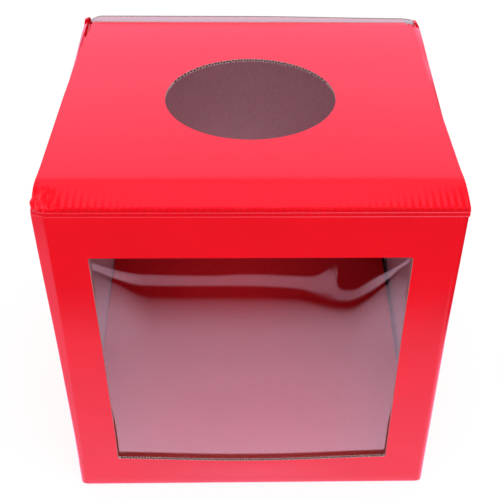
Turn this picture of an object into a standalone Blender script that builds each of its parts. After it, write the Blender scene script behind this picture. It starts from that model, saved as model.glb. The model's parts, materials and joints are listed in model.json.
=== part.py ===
"""Raffle box: a folding corrugated carton with a hand hole in its lid and a film window in front.

Metres, +Z up. The front wall faces -Y, and the origin is on the ground under the middle of the box.
Each panel between two creases is its own object. Panels that fold have their origin on the crease.
"""
import math

import bmesh
import bpy
from mathutils import Matrix, Vector

# Board and clearances
BOARD = 0.0016              # E-flute board, outer liner to inner liner
CRUSHED_BOARD = 0.0010      # the same board pressed together in the glued seam
PLAY = 0.0003               # gap between neighbouring pieces
OVERRUN = 0.004             # how far a cutter passes the faces that it cuts
FLUTE_PITCH = 0.0033        # from one wave of the fluted paper to the next
LINER_PAPER = 0.00022       # flat papers on both sides of the board
FLUTE_PAPER = 0.00022       # fluted paper between them
FLUTE_DEPTH = 0.0030        # the open cells reach this far in from a cut edge

# Carton
WIDTH = 0.200               # over the left and right walls
DEPTH = 0.200               # over the front and back walls
LID_LEVEL = 0.200           # ground to the lid's upper face
BACK_RISE = 0.003           # the back wall stands this much above the lid
CORNER_RADIUS = 0.004       # outside of the upright folds
FOLD_RADIUS = 0.0025        # outside of the flap folds
FOLD_RELIEF = 0.002         # die-cut notch between a flap fold and an upright fold
PANEL_INSET = 0.0005        # lid and bottom panel are cut this much inside the walls

# Lid
SHOULDER_RADIUS = 0.0062    # outside of the bend over the front wall
SPINE_HEIGHT = 0.0019       # strip between the two creases above the front wall
LID_SETBACK = 0.0044        # lid's rear fold to the back wall's outer face
LID_TAPER = 0.0015          # the rear half of the lid narrows by this much on each side
HOLE_RADIUS = 0.0455        # hand hole, in the middle of the lid
HOLE_FLUTE_MARGIN = 0.0020  # no cell opens this close to the hole's left and right ends

# Window
WINDOW_FRAME = 0.0236       # card left beside the window, below it, and above it up to the lower crease
WINDOW_CORNER = 0.0012      # die's corner radius
FILM = 0.0003               # clear sheet
FILM_LAP = 0.010            # film behind the wall on each side
TAPE = 0.0003               # adhesive strip
TAPE_WIDTH = 0.008
TAPE_EDGE = 0.001           # strip's distance from the film's edge
FILM_BUCKLE = 0.0028        # the loose film's deepest fold, inwards
FILM_WAVE_HEIGHT = 0.040    # the folds die out this far below the window's upper edge

# Flaps
TUCK_LENGTH = 0.018
TUCK_CORNER = 0.008         # slanted cut at each end of a tuck flap
BOTTOM_TUCK_CLEAR = 0.0012  # bottom tuck flap to the back wall
DUST_LENGTH = 0.045         # from the side wall's fold to the free edge
DUST_TAPER = 0.007          # each end of a dust flap slants in by this much
DUST_CORNER = 0.005
DUST_FRONT_CLEAR = 0.0075   # front end of a dust flap to the front wall's outer face
DUST_REAR_CLEAR = 0.0015    # rear end of a dust flap to the tuck crease

# Glued seam at the right rear corner
SEAM_TAB_WIDTH = 0.020
SEAM_TAB_END = 0.0045       # tab's ends to the dust flaps
SEAM_TAB_TAPER = 0.005
SEAM_EDGE_SETBACK = 0.0004  # raw edge of the right wall to the back wall's outer face

# Loose base board, printed side up, as long as the room between the walls
BASE_LEFT_PLAY = 0.0008     # to the left wall
BASE_RIGHT_PLAY = 0.0035    # to the right wall
BASE_CORNER = 0.0030

# Facets
FOLD_STEPS = 5
SHOULDER_STEPS = 8
CORNER_STEPS = 6
HOLE_STEPS = 96
ROUND_STEPS = 5
FILM_COLUMNS = 24
FILM_ROWS = 24

# Planes and levels worked out from the sizes above
OUTER_X = WIDTH / 2
OUTER_Y = DEPTH / 2
INNER_X = OUTER_X - BOARD
INNER_Y = OUTER_Y - BOARD
UPPER_CREASE = LID_LEVEL - SHOULDER_RADIUS - PLAY / 2
LOWER_CREASE = UPPER_CREASE - SPINE_HEIGHT - PLAY
FLAP_TOP = LID_LEVEL - BOARD - PLAY
FLAP_UNDER = FLAP_TOP - BOARD
LOW_FLAP_UNDER = BOARD + PLAY
LOW_FLAP_TOP = LOW_FLAP_UNDER + BOARD
BASE_UNDER = LOW_FLAP_TOP + PLAY
LID_REAR = OUTER_Y - LID_SETBACK
LID_TUCK_CREASE = LID_REAR - FOLD_RADIUS
BOTTOM_REAR = INNER_Y - BOTTOM_TUCK_CLEAR
BOTTOM_TUCK_CREASE = BOTTOM_REAR - FOLD_RADIUS
FLAP_ROOT = OUTER_X - FOLD_RADIUS - PLAY
FRONT_END = -OUTER_Y + CORNER_RADIUS
REAR_END = OUTER_Y - CORNER_RADIUS
FOLD_FRONT = FRONT_END + FOLD_RELIEF
FOLD_REAR = LID_TUCK_CREASE
RELIEF_REAR = FOLD_REAR + FOLD_RELIEF
DUST_FRONT = -OUTER_Y + DUST_FRONT_CLEAR
TAPE_FACE = -INNER_Y + PLAY
FILM_FACE = TAPE_FACE + TAPE + PLAY
WINDOW_HALF = OUTER_X - WINDOW_FRAME
WINDOW_SILL = WINDOW_FRAME
WINDOW_TOP = LOWER_CREASE - WINDOW_FRAME
WINDOW_MIDDLE = (WINDOW_SILL + WINDOW_TOP) / 2
FILM_HALF = Vector((WINDOW_HALF + FILM_LAP, 0, (WINDOW_TOP - WINDOW_SILL) / 2 + FILM_LAP))

# Finishes: colour, roughness, opacity
PRINTED = ("E8152B", 0.3, 1.0)
PRINTED_INSIDE = ("D0142A", 0.3, 1.0)
LINER = ("B9AEB2", 0.6, 1.0)
CLEAR = ("F4F6F7", 0.08, 0.25)
ADHESIVE = ("E6E2D6", 0.5, 1.0)


def clear_scene():
    """Remove every object that the file holds."""
    for obj in list(bpy.data.objects):
        bpy.data.objects.remove(obj, do_unlink=True)


def new_collection(name):
    collection = bpy.data.collections.new(name)
    bpy.context.scene.collection.children.link(collection)
    return collection


def linear(hex_colour):
    """Turn an sRGB hex colour into the linear values that a shader takes."""
    values = [int(hex_colour[i:i + 2], 16) / 255 for i in (0, 2, 4)]
    return [v / 12.92 if v <= 0.04045 else ((v + 0.055) / 1.055) ** 2.4 for v in values]


def make_material(name, hex_colour, roughness, alpha=1.0):
    material = bpy.data.materials.new(name)
    material.use_nodes = True
    shader = material.node_tree.nodes["Principled BSDF"]
    shader.inputs["Base Color"].default_value = (*linear(hex_colour), 1.0)
    shader.inputs["Roughness"].default_value = roughness
    shader.inputs["Metallic"].default_value = 0.0
    shader.inputs["Alpha"].default_value = alpha
    return material


def add_object(name, bm, finish, origin=(0, 0, 0)):
    """Make an object of a mesh that was drawn in world coordinates, with its origin at a given point."""
    hex_colour, roughness, alpha = finish
    bmesh.ops.translate(bm, verts=bm.verts[:], vec=-Vector(origin))
    mesh = bpy.data.meshes.new(name)
    bm.to_mesh(mesh)
    bm.free()
    mesh.materials.append(make_material(f"{name}_finish", hex_colour, roughness, alpha))
    obj = bpy.data.objects.new(name, mesh)
    obj.location = origin
    parts.objects.link(obj)
    return obj


def add_cutter(name, bm):
    mesh = bpy.data.meshes.new(name)
    bm.to_mesh(mesh)
    bm.free()
    obj = bpy.data.objects.new(name, mesh)
    obj.display_type = "WIRE"
    obj.hide_render = True
    cutters.objects.link(obj)
    return obj


def carry(child, parent):
    """Parent an object and keep its place in the world."""
    bpy.context.view_layer.update()
    child.location = child.location - parent.matrix_world.translation
    child.parent = parent


def thicken(obj, thickness):
    """Give an open sheet its wall, inwards from the face that was drawn."""
    wall = obj.modifiers.new("board", "SOLIDIFY")
    wall.thickness = thickness
    wall.offset = -1
    wall.use_even_offset = True


def cut(obj, cutter):
    boolean = obj.modifiers.new(cutter.name, "BOOLEAN")
    boolean.operation = "DIFFERENCE"
    boolean.solver = "EXACT"
    boolean.object = cutter


def smooth(obj):
    """Shade the folds round and keep the cut edges sharp."""
    obj.data.shade_smooth()
    obj.data.set_sharp_from_angle(angle=math.radians(35))


def polyline(bm, points):
    """Draw a chain of edges through points."""
    verts = [bm.verts.new(point) for point in points]
    return [bm.edges.new(pair) for pair in zip(verts, verts[1:])]


def pull(bm, edges, offset):
    """Extrude edges by an offset. Give back the outer edges of the new strip."""
    made = bmesh.ops.extrude_edge_only(bm, edges=edges)["geom"]
    verts = {item for item in made if isinstance(item, bmesh.types.BMVert)}
    bmesh.ops.translate(bm, verts=list(verts), vec=offset)
    return [item for item in made if isinstance(item, bmesh.types.BMEdge) and verts.issuperset(item.verts)]


def roll(bm, edges, centre, axis, degrees, steps=FOLD_STEPS):
    """Sweep edges round an axis to make a rounded fold. Give back its last edges."""
    verts = list({vert for edge in edges for vert in edge.verts})
    made = bmesh.ops.spin(bm, geom=edges + verts, cent=centre, axis=axis, dvec=(0, 0, 0),
                          angle=math.radians(degrees), steps=steps, use_duplicate=False)
    return [item for item in made["geom_last"] if isinstance(item, bmesh.types.BMEdge)]


def face_out(bm, outwards):
    """Make the sheet's faces consistent, with the largest one looking outwards."""
    bmesh.ops.recalc_face_normals(bm, faces=bm.faces[:])
    largest = max(bm.faces, key=lambda face: face.calc_area())
    if largest.normal.dot(Vector(outwards)) < 0:
        bmesh.ops.reverse_faces(bm, faces=bm.faces[:])


def between(edges, axis, low, high):
    """Pick the edges whose middles lie between two values along an axis."""
    return [edge for edge in edges
            if low < (edge.verts[0].co[axis] + edge.verts[1].co[axis]) / 2 < high]


def arc(centre, radius, start, end, steps):
    """Points on an arc in plan, angles in degrees from +X."""
    angles = [math.radians(start + (end - start) * i / steps) for i in range(steps + 1)]
    return [(centre[0] + radius * math.cos(a), centre[1] + radius * math.sin(a)) for a in angles]


def box(low, high):
    """A block between two corners."""
    low, high = Vector(low), Vector(high)
    place = Matrix.Translation((low + high) / 2) @ Matrix.Diagonal((*(high - low), 1))
    bm = bmesh.new()
    bmesh.ops.create_cube(bm, size=1, matrix=place)
    return bm


def round_edges(bm, along, radius, where=None):
    """Round the edges that run along an axis, all of them or those that a test picks."""
    edges = []
    for edge in bm.edges:
        run = edge.verts[1].co - edge.verts[0].co
        if abs(run[along]) > 0.999 * run.length and (where is None or where(edge)):
            edges.append(edge)
    bmesh.ops.bevel(bm, geom=edges, offset=radius, segments=ROUND_STEPS, profile=0.5, affect="EDGES")


def plate(outline, low, high):
    """A flat board: an outline in plan between two levels."""
    bm = bmesh.new()
    face = bm.faces.new([bm.verts.new((x, y, low)) for x, y in outline])
    raised = bmesh.ops.extrude_face_region(bm, geom=[face])["geom"]
    verts = [item for item in raised if isinstance(item, bmesh.types.BMVert)]
    bmesh.ops.translate(bm, verts=verts, vec=(0, 0, high - low))
    bmesh.ops.recalc_face_normals(bm, faces=bm.faces[:])
    return bm


def flute_middles(reach):
    """Middles of the board's cells, half a pitch apart, that stay within a reach of the centre."""
    count = int((reach - FLUTE_PITCH / 2) / (FLUTE_PITCH / 2))
    return [i * FLUTE_PITCH / 2 for i in range(-count, count + 1)]


def flute_cells(runs, place):
    """The air between the fluted paper and the liners, as a cutter of three-sided prisms.

    runs gives each cell's middle and its two ends along the flutes. Every second cell lies under the
    outer liner, and the ones between them lie on the inner liner. place turns a point of the board, given
    as across, depth and along, into a world point.
    """
    core = BOARD - 2 * LINER_PAPER
    slope = math.atan2(core, FLUTE_PITCH / 2)
    half = FLUTE_PITCH / 2 - FLUTE_PAPER / (2 * math.sin(slope))
    rise = half * math.tan(slope)
    bm = bmesh.new()
    for middle, (start, end) in runs.items():
        outer = round(middle / (FLUTE_PITCH / 2)) % 2 == 0
        foot = LINER_PAPER if outer else BOARD - LINER_PAPER
        peak = foot + rise if outer else foot - rise
        profile = [(middle - half, foot), (middle + half, foot), (middle, peak)]
        rim = bm.faces.new([bm.verts.new(place(across, depth, start)) for across, depth in profile])
        moved = bmesh.ops.extrude_face_region(bm, geom=[rim])["geom"]
        verts = [item for item in moved if isinstance(item, bmesh.types.BMVert)]
        step = Vector(place(0, 0, end)) - Vector(place(0, 0, start))
        bmesh.ops.translate(bm, verts=verts, vec=step)
    bmesh.ops.recalc_face_normals(bm, faces=bm.faces[:])
    return bm


def build_front_fold():
    """Rounded fold under the front wall, up to the crease that the bottom panel turns on."""
    half = OUTER_X - CORNER_RADIUS - PLAY
    bm = bmesh.new()
    head = polyline(bm, [(-half, -OUTER_Y, FOLD_RADIUS), (half, -OUTER_Y, FOLD_RADIUS)])
    roll(bm, head, (0, -OUTER_Y + FOLD_RADIUS, FOLD_RADIUS), (1, 0, 0), 90)
    face_out(bm, (0, -1, 0))
    fold = add_object("front_fold", bm, PRINTED)
    thicken(fold, BOARD)
    return fold


def build_front_panel():
    """Front wall with the window."""
    half = OUTER_X - CORNER_RADIUS - PLAY
    bm = bmesh.new()
    foot = polyline(bm, [(-half, -OUTER_Y, FOLD_RADIUS + PLAY), (half, -OUTER_Y, FOLD_RADIUS + PLAY)])
    pull(bm, foot, (0, 0, LOWER_CREASE - PLAY / 2 - FOLD_RADIUS - PLAY))
    face_out(bm, (0, -1, 0))
    panel = add_object("front_panel", bm, PRINTED)
    thicken(panel, BOARD)
    cutter = box((-WINDOW_HALF, -OUTER_Y - OVERRUN, WINDOW_SILL),
                 (WINDOW_HALF, -INNER_Y + OVERRUN, WINDOW_TOP))
    round_edges(cutter, 1, WINDOW_CORNER)
    cut(panel, add_cutter("window_cutter", cutter))
    runs = {middle: (WINDOW_SILL - FLUTE_DEPTH, WINDOW_TOP + FLUTE_DEPTH)
            for middle in flute_middles(WINDOW_HALF - WINDOW_CORNER)}
    cells = flute_cells(runs, lambda across, depth, along: (across, -OUTER_Y + depth, along))
    cut(panel, add_cutter("window_flute_cutter", cells))
    return panel


def build_side_panel(name, side):
    """Side wall with its upright folds and the folds of its dust flaps. side is -1 left, 1 right."""
    seam = side > 0
    front = arc((OUTER_X - CORNER_RADIUS, FRONT_END), CORNER_RADIUS, -90, 0, CORNER_STEPS)
    rear = arc((OUTER_X - CORNER_RADIUS, REAR_END), CORNER_RADIUS, 0, 90, CORNER_STEPS)
    folds = [(OUTER_X, FOLD_FRONT), (OUTER_X, FOLD_REAR), (OUTER_X, RELIEF_REAR)]
    tail = [(OUTER_X, OUTER_Y - SEAM_EDGE_SETBACK)] if seam else rear
    low = LOW_FLAP_UNDER + FOLD_RADIUS
    bm = bmesh.new()
    foot = polyline(bm, [(side * x, y, low) for x, y in front + folds + tail])
    crease = pull(bm, foot, (0, 0, LOWER_CREASE - PLAY / 2 - low))
    corners = between(foot, 1, -OUTER_Y, FRONT_END) + between(foot, 1, RELIEF_REAR, OUTER_Y)
    pull(bm, corners, (0, 0, LOW_FLAP_UNDER - low))
    pivot = side * (OUTER_X - FOLD_RADIUS)
    roll(bm, between(foot, 1, FOLD_FRONT, FOLD_REAR), (pivot, 0, low), (0, 1, 0), side * 90)
    rise = FLAP_TOP - FOLD_RADIUS - LOWER_CREASE + PLAY / 2
    head = pull(bm, between(crease, 1, FRONT_END, OUTER_Y), (0, 0, rise))
    pull(bm, between(head, 1, RELIEF_REAR, OUTER_Y), (0, 0, FOLD_RADIUS))
    upper_pivot = (pivot, 0, FLAP_TOP - FOLD_RADIUS)
    roll(bm, between(head, 1, FOLD_FRONT, FOLD_REAR), upper_pivot, (0, 1, 0), -side * 90)
    face_out(bm, (side, 0, 0))
    panel = add_object(name, bm, PRINTED)
    thicken(panel, BOARD)
    return panel


def build_back_panel():
    """Back wall, a plain panel with raw edges at top and bottom that the tuck flaps slip behind."""
    left = -(OUTER_X - CORNER_RADIUS - PLAY)
    right = INNER_X - PLAY - FOLD_RADIUS - PLAY
    bm = bmesh.new()
    foot = polyline(bm, [(left, OUTER_Y, 0), (right, OUTER_Y, 0)])
    pull(bm, foot, (0, 0, LID_LEVEL + BACK_RISE))
    face_out(bm, (0, 1, 0))
    panel = add_object("back_panel", bm, PRINTED)
    thicken(panel, BOARD)
    top = LID_LEVEL + BACK_RISE
    runs = {middle: (top - FLUTE_DEPTH, top + OVERRUN) for middle in flute_middles(right - PLAY)}
    cells = flute_cells(runs, lambda across, depth, along: (across, OUTER_Y - depth, along))
    cut(panel, add_cutter("back_flute_cutter", cells))
    return panel


def build_seam_tab():
    """Tab of the back wall that is glued inside the right wall."""
    low = LOW_FLAP_TOP + SEAM_TAB_END
    high = FLAP_UNDER - SEAM_TAB_END
    face = INNER_X - PLAY
    free_edge = OUTER_Y - SEAM_TAB_WIDTH
    bend = arc((face - FOLD_RADIUS, OUTER_Y - FOLD_RADIUS), FOLD_RADIUS, 90, 0, FOLD_STEPS)
    bm = bmesh.new()
    foot = polyline(bm, [(x, y, low) for x, y in bend + [(face, free_edge)]])
    pull(bm, foot, (0, 0, high - low))
    middle = (low + high) / 2
    for vert in bm.verts:
        if vert.co.y < free_edge + PLAY:
            vert.co.z += SEAM_TAB_TAPER if vert.co.z < middle else -SEAM_TAB_TAPER
    face_out(bm, (1, 0, 0))
    tab = add_object("seam_tab", bm, LINER)
    thicken(tab, CRUSHED_BOARD)
    return tab


def film_depth(x, z):
    """How far the loose film stands in from its glued plane, at a place in the window."""
    across = max(0.0, 1 - (x / WINDOW_HALF) ** 2)
    drop = (WINDOW_TOP - z) / FILM_WAVE_HEIGHT
    if drop <= 0 or z <= WINDOW_SILL:
        return 0.0
    return FILM_BUCKLE * across * math.sin(math.pi * min(drop, 1.0)) ** 2


def build_window_film():
    """Clear sheet behind the window. It is glued at its edges and buckles a little between them."""
    bm = bmesh.new()
    turn = Matrix.Translation((0, FILM_FACE, WINDOW_MIDDLE)) @ Matrix.Rotation(math.pi / 2, 4, "X")
    scale = Matrix.Diagonal((FILM_HALF.x, FILM_HALF.z, 1, 1))
    bmesh.ops.create_grid(bm, x_segments=FILM_COLUMNS, y_segments=FILM_ROWS, size=1, matrix=turn @ scale)
    for vert in bm.verts:
        vert.co.y += film_depth(vert.co.x, vert.co.z)
    face_out(bm, (0, -1, 0))
    film = add_object("window_film", bm, CLEAR)
    thicken(film, FILM)
    return film


def build_film_tapes():
    """Four adhesive strips between the front wall and the film's edges."""
    near = FILM_HALF.x - TAPE_EDGE
    up = FILM_HALF.z - TAPE_EDGE
    side_up = up - TAPE_WIDTH - PLAY
    strips = {
        "film_tape_top": ((-near, up - TAPE_WIDTH), (near, up)),
        "film_tape_bottom": ((-near, -up), (near, -up + TAPE_WIDTH)),
        "film_tape_left": ((-near, -side_up), (-near + TAPE_WIDTH, side_up)),
        "film_tape_right": ((near - TAPE_WIDTH, -side_up), (near, side_up)),
    }
    tapes = []
    for name, (low, high) in strips.items():
        bm = box((low[0], TAPE_FACE, WINDOW_MIDDLE + low[1]),
                 (high[0], TAPE_FACE + TAPE, WINDOW_MIDDLE + high[1]))
        tapes.append(add_object(name, bm, ADHESIVE))
    return tapes


def build_lid_spine():
    """Narrow strip between the two creases of the lid's double score."""
    half = OUTER_X - PANEL_INSET
    low = LOWER_CREASE + PLAY / 2
    bm = bmesh.new()
    foot = polyline(bm, [(-half, -OUTER_Y, low), (half, -OUTER_Y, low)])
    pull(bm, foot, (0, 0, SPINE_HEIGHT))
    face_out(bm, (0, -1, 0))
    spine = add_object("lid_spine", bm, PRINTED, (0, -OUTER_Y, LOWER_CREASE))
    thicken(spine, BOARD)
    return spine


def build_lid_panel(spine):
    """Lid with its bent shoulder and the hand hole."""
    half = OUTER_X - PANEL_INSET
    bend = -OUTER_Y + SHOULDER_RADIUS
    bm = bmesh.new()
    front = polyline(bm, [(-half, bend, LID_LEVEL), (half, bend, LID_LEVEL)])
    middle = pull(bm, front, (0, -bend, 0))
    rear = pull(bm, middle, (0, LID_TUCK_CREASE - PLAY / 2, 0))
    for vert in {vert for edge in rear for vert in edge.verts}:
        vert.co.x -= math.copysign(LID_TAPER, vert.co.x)
    roll(bm, front, (0, bend, LID_LEVEL - SHOULDER_RADIUS), (1, 0, 0), 90, SHOULDER_STEPS)
    face_out(bm, (0, 0, 1))
    lid = add_object("lid_panel", bm, PRINTED, (0, -OUTER_Y, UPPER_CREASE))
    thicken(lid, BOARD)
    hole = bmesh.new()
    bmesh.ops.create_cone(hole, cap_ends=True, segments=HOLE_STEPS, radius1=HOLE_RADIUS,
                          radius2=HOLE_RADIUS, depth=BOARD + 2 * OVERRUN,
                          matrix=Matrix.Translation((0, 0, LID_LEVEL - BOARD / 2)))
    cut(lid, add_cutter("hand_hole_cutter", hole))
    runs = {}
    for across in flute_middles(HOLE_RADIUS - HOLE_FLUTE_MARGIN):
        near_side = max(0.0, abs(across) - FLUTE_PITCH / 2)
        reach = math.sqrt(HOLE_RADIUS ** 2 - near_side ** 2) + FLUTE_DEPTH
        runs[across] = (-reach, reach)
    cells = flute_cells(runs, lambda across, depth, along: (across, along, LID_LEVEL - depth))
    cut(lid, add_cutter("hole_flute_cutter", cells))
    carry(lid, spine)
    return lid


def build_tuck_flap(name, crease, level, up, panel):
    """Tuck flap with its fold. crease is its place along Y, level its panel's outer face, up -1 or 1."""
    half = INNER_X - PANEL_INSET - BOARD
    run = TUCK_LENGTH - FOLD_RADIUS
    bm = bmesh.new()
    root = polyline(bm, [(-half, crease + PLAY / 2, level), (half, crease + PLAY / 2, level)])
    bend = roll(bm, root, (0, crease + PLAY / 2, level + up * FOLD_RADIUS), (1, 0, 0), up * 90)
    edge = pull(bm, bend, (0, 0, up * (run - TUCK_CORNER)))
    tip = pull(bm, edge, (0, 0, up * TUCK_CORNER))
    for vert in {vert for item in tip for vert in item.verts}:
        vert.co.x -= math.copysign(TUCK_CORNER, vert.co.x)
    face_out(bm, (0, 1, 0))
    flap = add_object(name, bm, PRINTED, (0, crease, level + up * BOARD))
    thicken(flap, BOARD)
    carry(flap, panel)
    return flap


def build_dust_flap(name, side, low, rear, upper):
    """Dust flap on a side wall. The top ones have a crushed, slanted root so that they can swing down."""
    root, tip = side * FLAP_ROOT, side * (FLAP_ROOT - DUST_LENGTH)
    outline = [(root, DUST_FRONT), (root, rear), (tip, rear - DUST_TAPER), (tip, DUST_FRONT + DUST_TAPER)]
    bm = plate(outline, low, low + BOARD)
    if upper:
        for vert in bm.verts:
            if vert.co.x == root and vert.co.z > low:
                vert.co.x -= side * BOARD
    round_edges(bm, 2, DUST_CORNER, where=lambda edge: abs(edge.verts[0].co.x) < abs(tip) + PLAY)
    return add_object(name, bm, LINER, (root, 0, low))


def build_bottom_panel():
    """Bottom panel, hinged on the front wall."""
    half = OUTER_X - PANEL_INSET
    front = -OUTER_Y + FOLD_RADIUS
    bm = box((-half, front + PLAY, 0), (half, BOTTOM_TUCK_CREASE - PLAY / 2, BOARD))
    return add_object("bottom_panel", bm, PRINTED, (0, front + PLAY / 2, 0))


def build_base_board():
    """Loose board on the bottom flaps.

    The film takes some of the room between the walls, so the board can't lie flat: its rear edge rides
    up the back wall.
    """
    left, right = -INNER_X + BASE_LEFT_PLAY, INNER_X - BASE_RIGHT_PLAY
    length = 2 * INNER_Y
    room = INNER_Y - PLAY - (FILM_FACE + FILM + PLAY)
    tilt = math.atan2(BOARD, length) + math.acos(room / math.hypot(length, BOARD))
    front = INNER_Y - PLAY - length * math.cos(tilt)
    bm = box((left, front, BASE_UNDER), (right, front + length, BASE_UNDER + BOARD))
    round_edges(bm, 2, BASE_CORNER)
    turn = Matrix.Rotation(tilt, 3, "X")
    bmesh.ops.rotate(bm, verts=bm.verts[:], cent=(0, front, BASE_UNDER), matrix=turn)
    return add_object("base_board", bm, PRINTED_INSIDE, ((left + right) / 2, 0, BASE_UNDER))


clear_scene()
parts = new_collection("raffle_box")
cutters = new_collection("cutters")

build_front_panel()
build_front_fold()
build_side_panel("left_panel", -1)
build_side_panel("right_panel", 1)
build_back_panel()
build_seam_tab()
build_window_film()
build_film_tapes()
lid_spine = build_lid_spine()
lid_panel = build_lid_panel(lid_spine)
build_tuck_flap("lid_tuck_flap", LID_TUCK_CREASE, LID_LEVEL, -1, lid_panel)
bottom = build_bottom_panel()
build_tuck_flap("bottom_tuck_flap", BOTTOM_TUCK_CREASE, 0, 1, bottom)
for side_name, side_sign in (("left", -1), ("right", 1)):
    build_dust_flap(f"top_dust_flap_{side_name}", side_sign, FLAP_UNDER,
                    LID_TUCK_CREASE - DUST_REAR_CLEAR, True)
    build_dust_flap(f"bottom_dust_flap_{side_name}", side_sign, LOW_FLAP_UNDER,
                    BOTTOM_TUCK_CREASE - DUST_REAR_CLEAR, False)
build_base_board()
for part in parts.objects:
    smooth(part)
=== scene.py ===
"""Red raffle box of laminated corrugated card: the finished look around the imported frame.

Metres, +Z up. The window looks along -Y, and the origin is on the ground under the middle of the box.
Every board piece is drawn flat as a grid, folded like the die-cut blank, given its wall, and cut.
"""
import json
import logging
import math
from dataclasses import dataclass, field
from enum import Enum
from typing import Callable, ClassVar, Iterable, Sequence

import bpy
from mathutils import Matrix, Vector, noise


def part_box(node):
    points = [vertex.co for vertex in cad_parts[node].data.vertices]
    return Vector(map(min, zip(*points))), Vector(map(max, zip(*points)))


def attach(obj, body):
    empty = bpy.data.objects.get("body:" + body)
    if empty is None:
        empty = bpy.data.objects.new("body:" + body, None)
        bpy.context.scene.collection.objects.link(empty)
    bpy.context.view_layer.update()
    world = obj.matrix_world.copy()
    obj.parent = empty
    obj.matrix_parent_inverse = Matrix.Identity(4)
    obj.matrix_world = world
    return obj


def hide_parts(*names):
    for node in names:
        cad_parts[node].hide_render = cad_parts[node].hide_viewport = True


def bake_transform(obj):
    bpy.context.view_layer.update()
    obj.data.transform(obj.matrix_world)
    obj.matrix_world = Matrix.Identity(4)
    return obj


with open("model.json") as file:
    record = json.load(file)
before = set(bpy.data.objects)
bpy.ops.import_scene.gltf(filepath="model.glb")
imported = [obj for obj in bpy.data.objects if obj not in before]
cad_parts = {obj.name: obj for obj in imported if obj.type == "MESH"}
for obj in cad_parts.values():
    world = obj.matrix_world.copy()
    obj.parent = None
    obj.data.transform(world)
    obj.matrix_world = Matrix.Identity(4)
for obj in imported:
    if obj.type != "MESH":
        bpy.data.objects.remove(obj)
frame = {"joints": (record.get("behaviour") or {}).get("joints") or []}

log = logging.getLogger("raffle_box")
Test = Callable[[Vector], bool]
Move = Callable[[Vector], Vector]
Span = tuple[float, float]
Place = tuple[float, float, float]
Piece = bpy.types.Object
Material = bpy.types.Material
Socket = bpy.types.NodeSocket
SAME_PLACE = 1e-5                 # two points closer than this are on the same line
FLUTE_PITCH = 0.0033
NOISE = (0.3, 0.7)                # nearly all of a noise lies in this range,
NOISE_CORE = (0.35, 0.65)         # and most of it in this one


class Axis(Enum):
    """Direction in the ground plane. A panel's washboard pattern runs across its flutes along one of them."""

    X = 0
    Y = 1


class Face(Enum):
    """Material slots of a board piece, in the order that Solidify numbers them."""

    OUTER = 0
    INNER = 1
    CUT = 2
    CELL = 3


def linear(hex_colour: str) -> tuple[float, float, float, float]:
    """Turn an sRGB hex colour into the linear colour that a shader takes.

    Args:
        hex_colour: Six hex digits.

    Returns:
        Red, green, blue and an alpha of 1.
    """
    values = [int(hex_colour[i:i + 2], 16) / 255 for i in (0, 2, 4)]
    red, green, blue = [v / 12.92 if v <= 0.04045 else ((v + 0.055) / 1.055) ** 2.4 for v in values]
    return red, green, blue, 1.0


def add_node(tree: bpy.types.NodeTree, kind: str, inputs: dict | None = None, **settings) -> bpy.types.Node:
    """Add a shader node with its settings, and link or set its inputs.

    Args:
        tree: Node tree that gets the node.
        kind: Type name of the node, without its prefix.
        inputs: Value or output socket for each input, by name or number.
        settings: Attributes of the node.

    Returns:
        The new node.
    """
    node = tree.nodes.new("ShaderNode" + kind)
    for name, value in settings.items():
        setattr(node, name, value)
    for socket, value in (inputs or {}).items():
        if isinstance(value, Socket):
            tree.links.new(value, node.inputs[socket])
        else:
            node.inputs[socket].default_value = value
    return node


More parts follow.
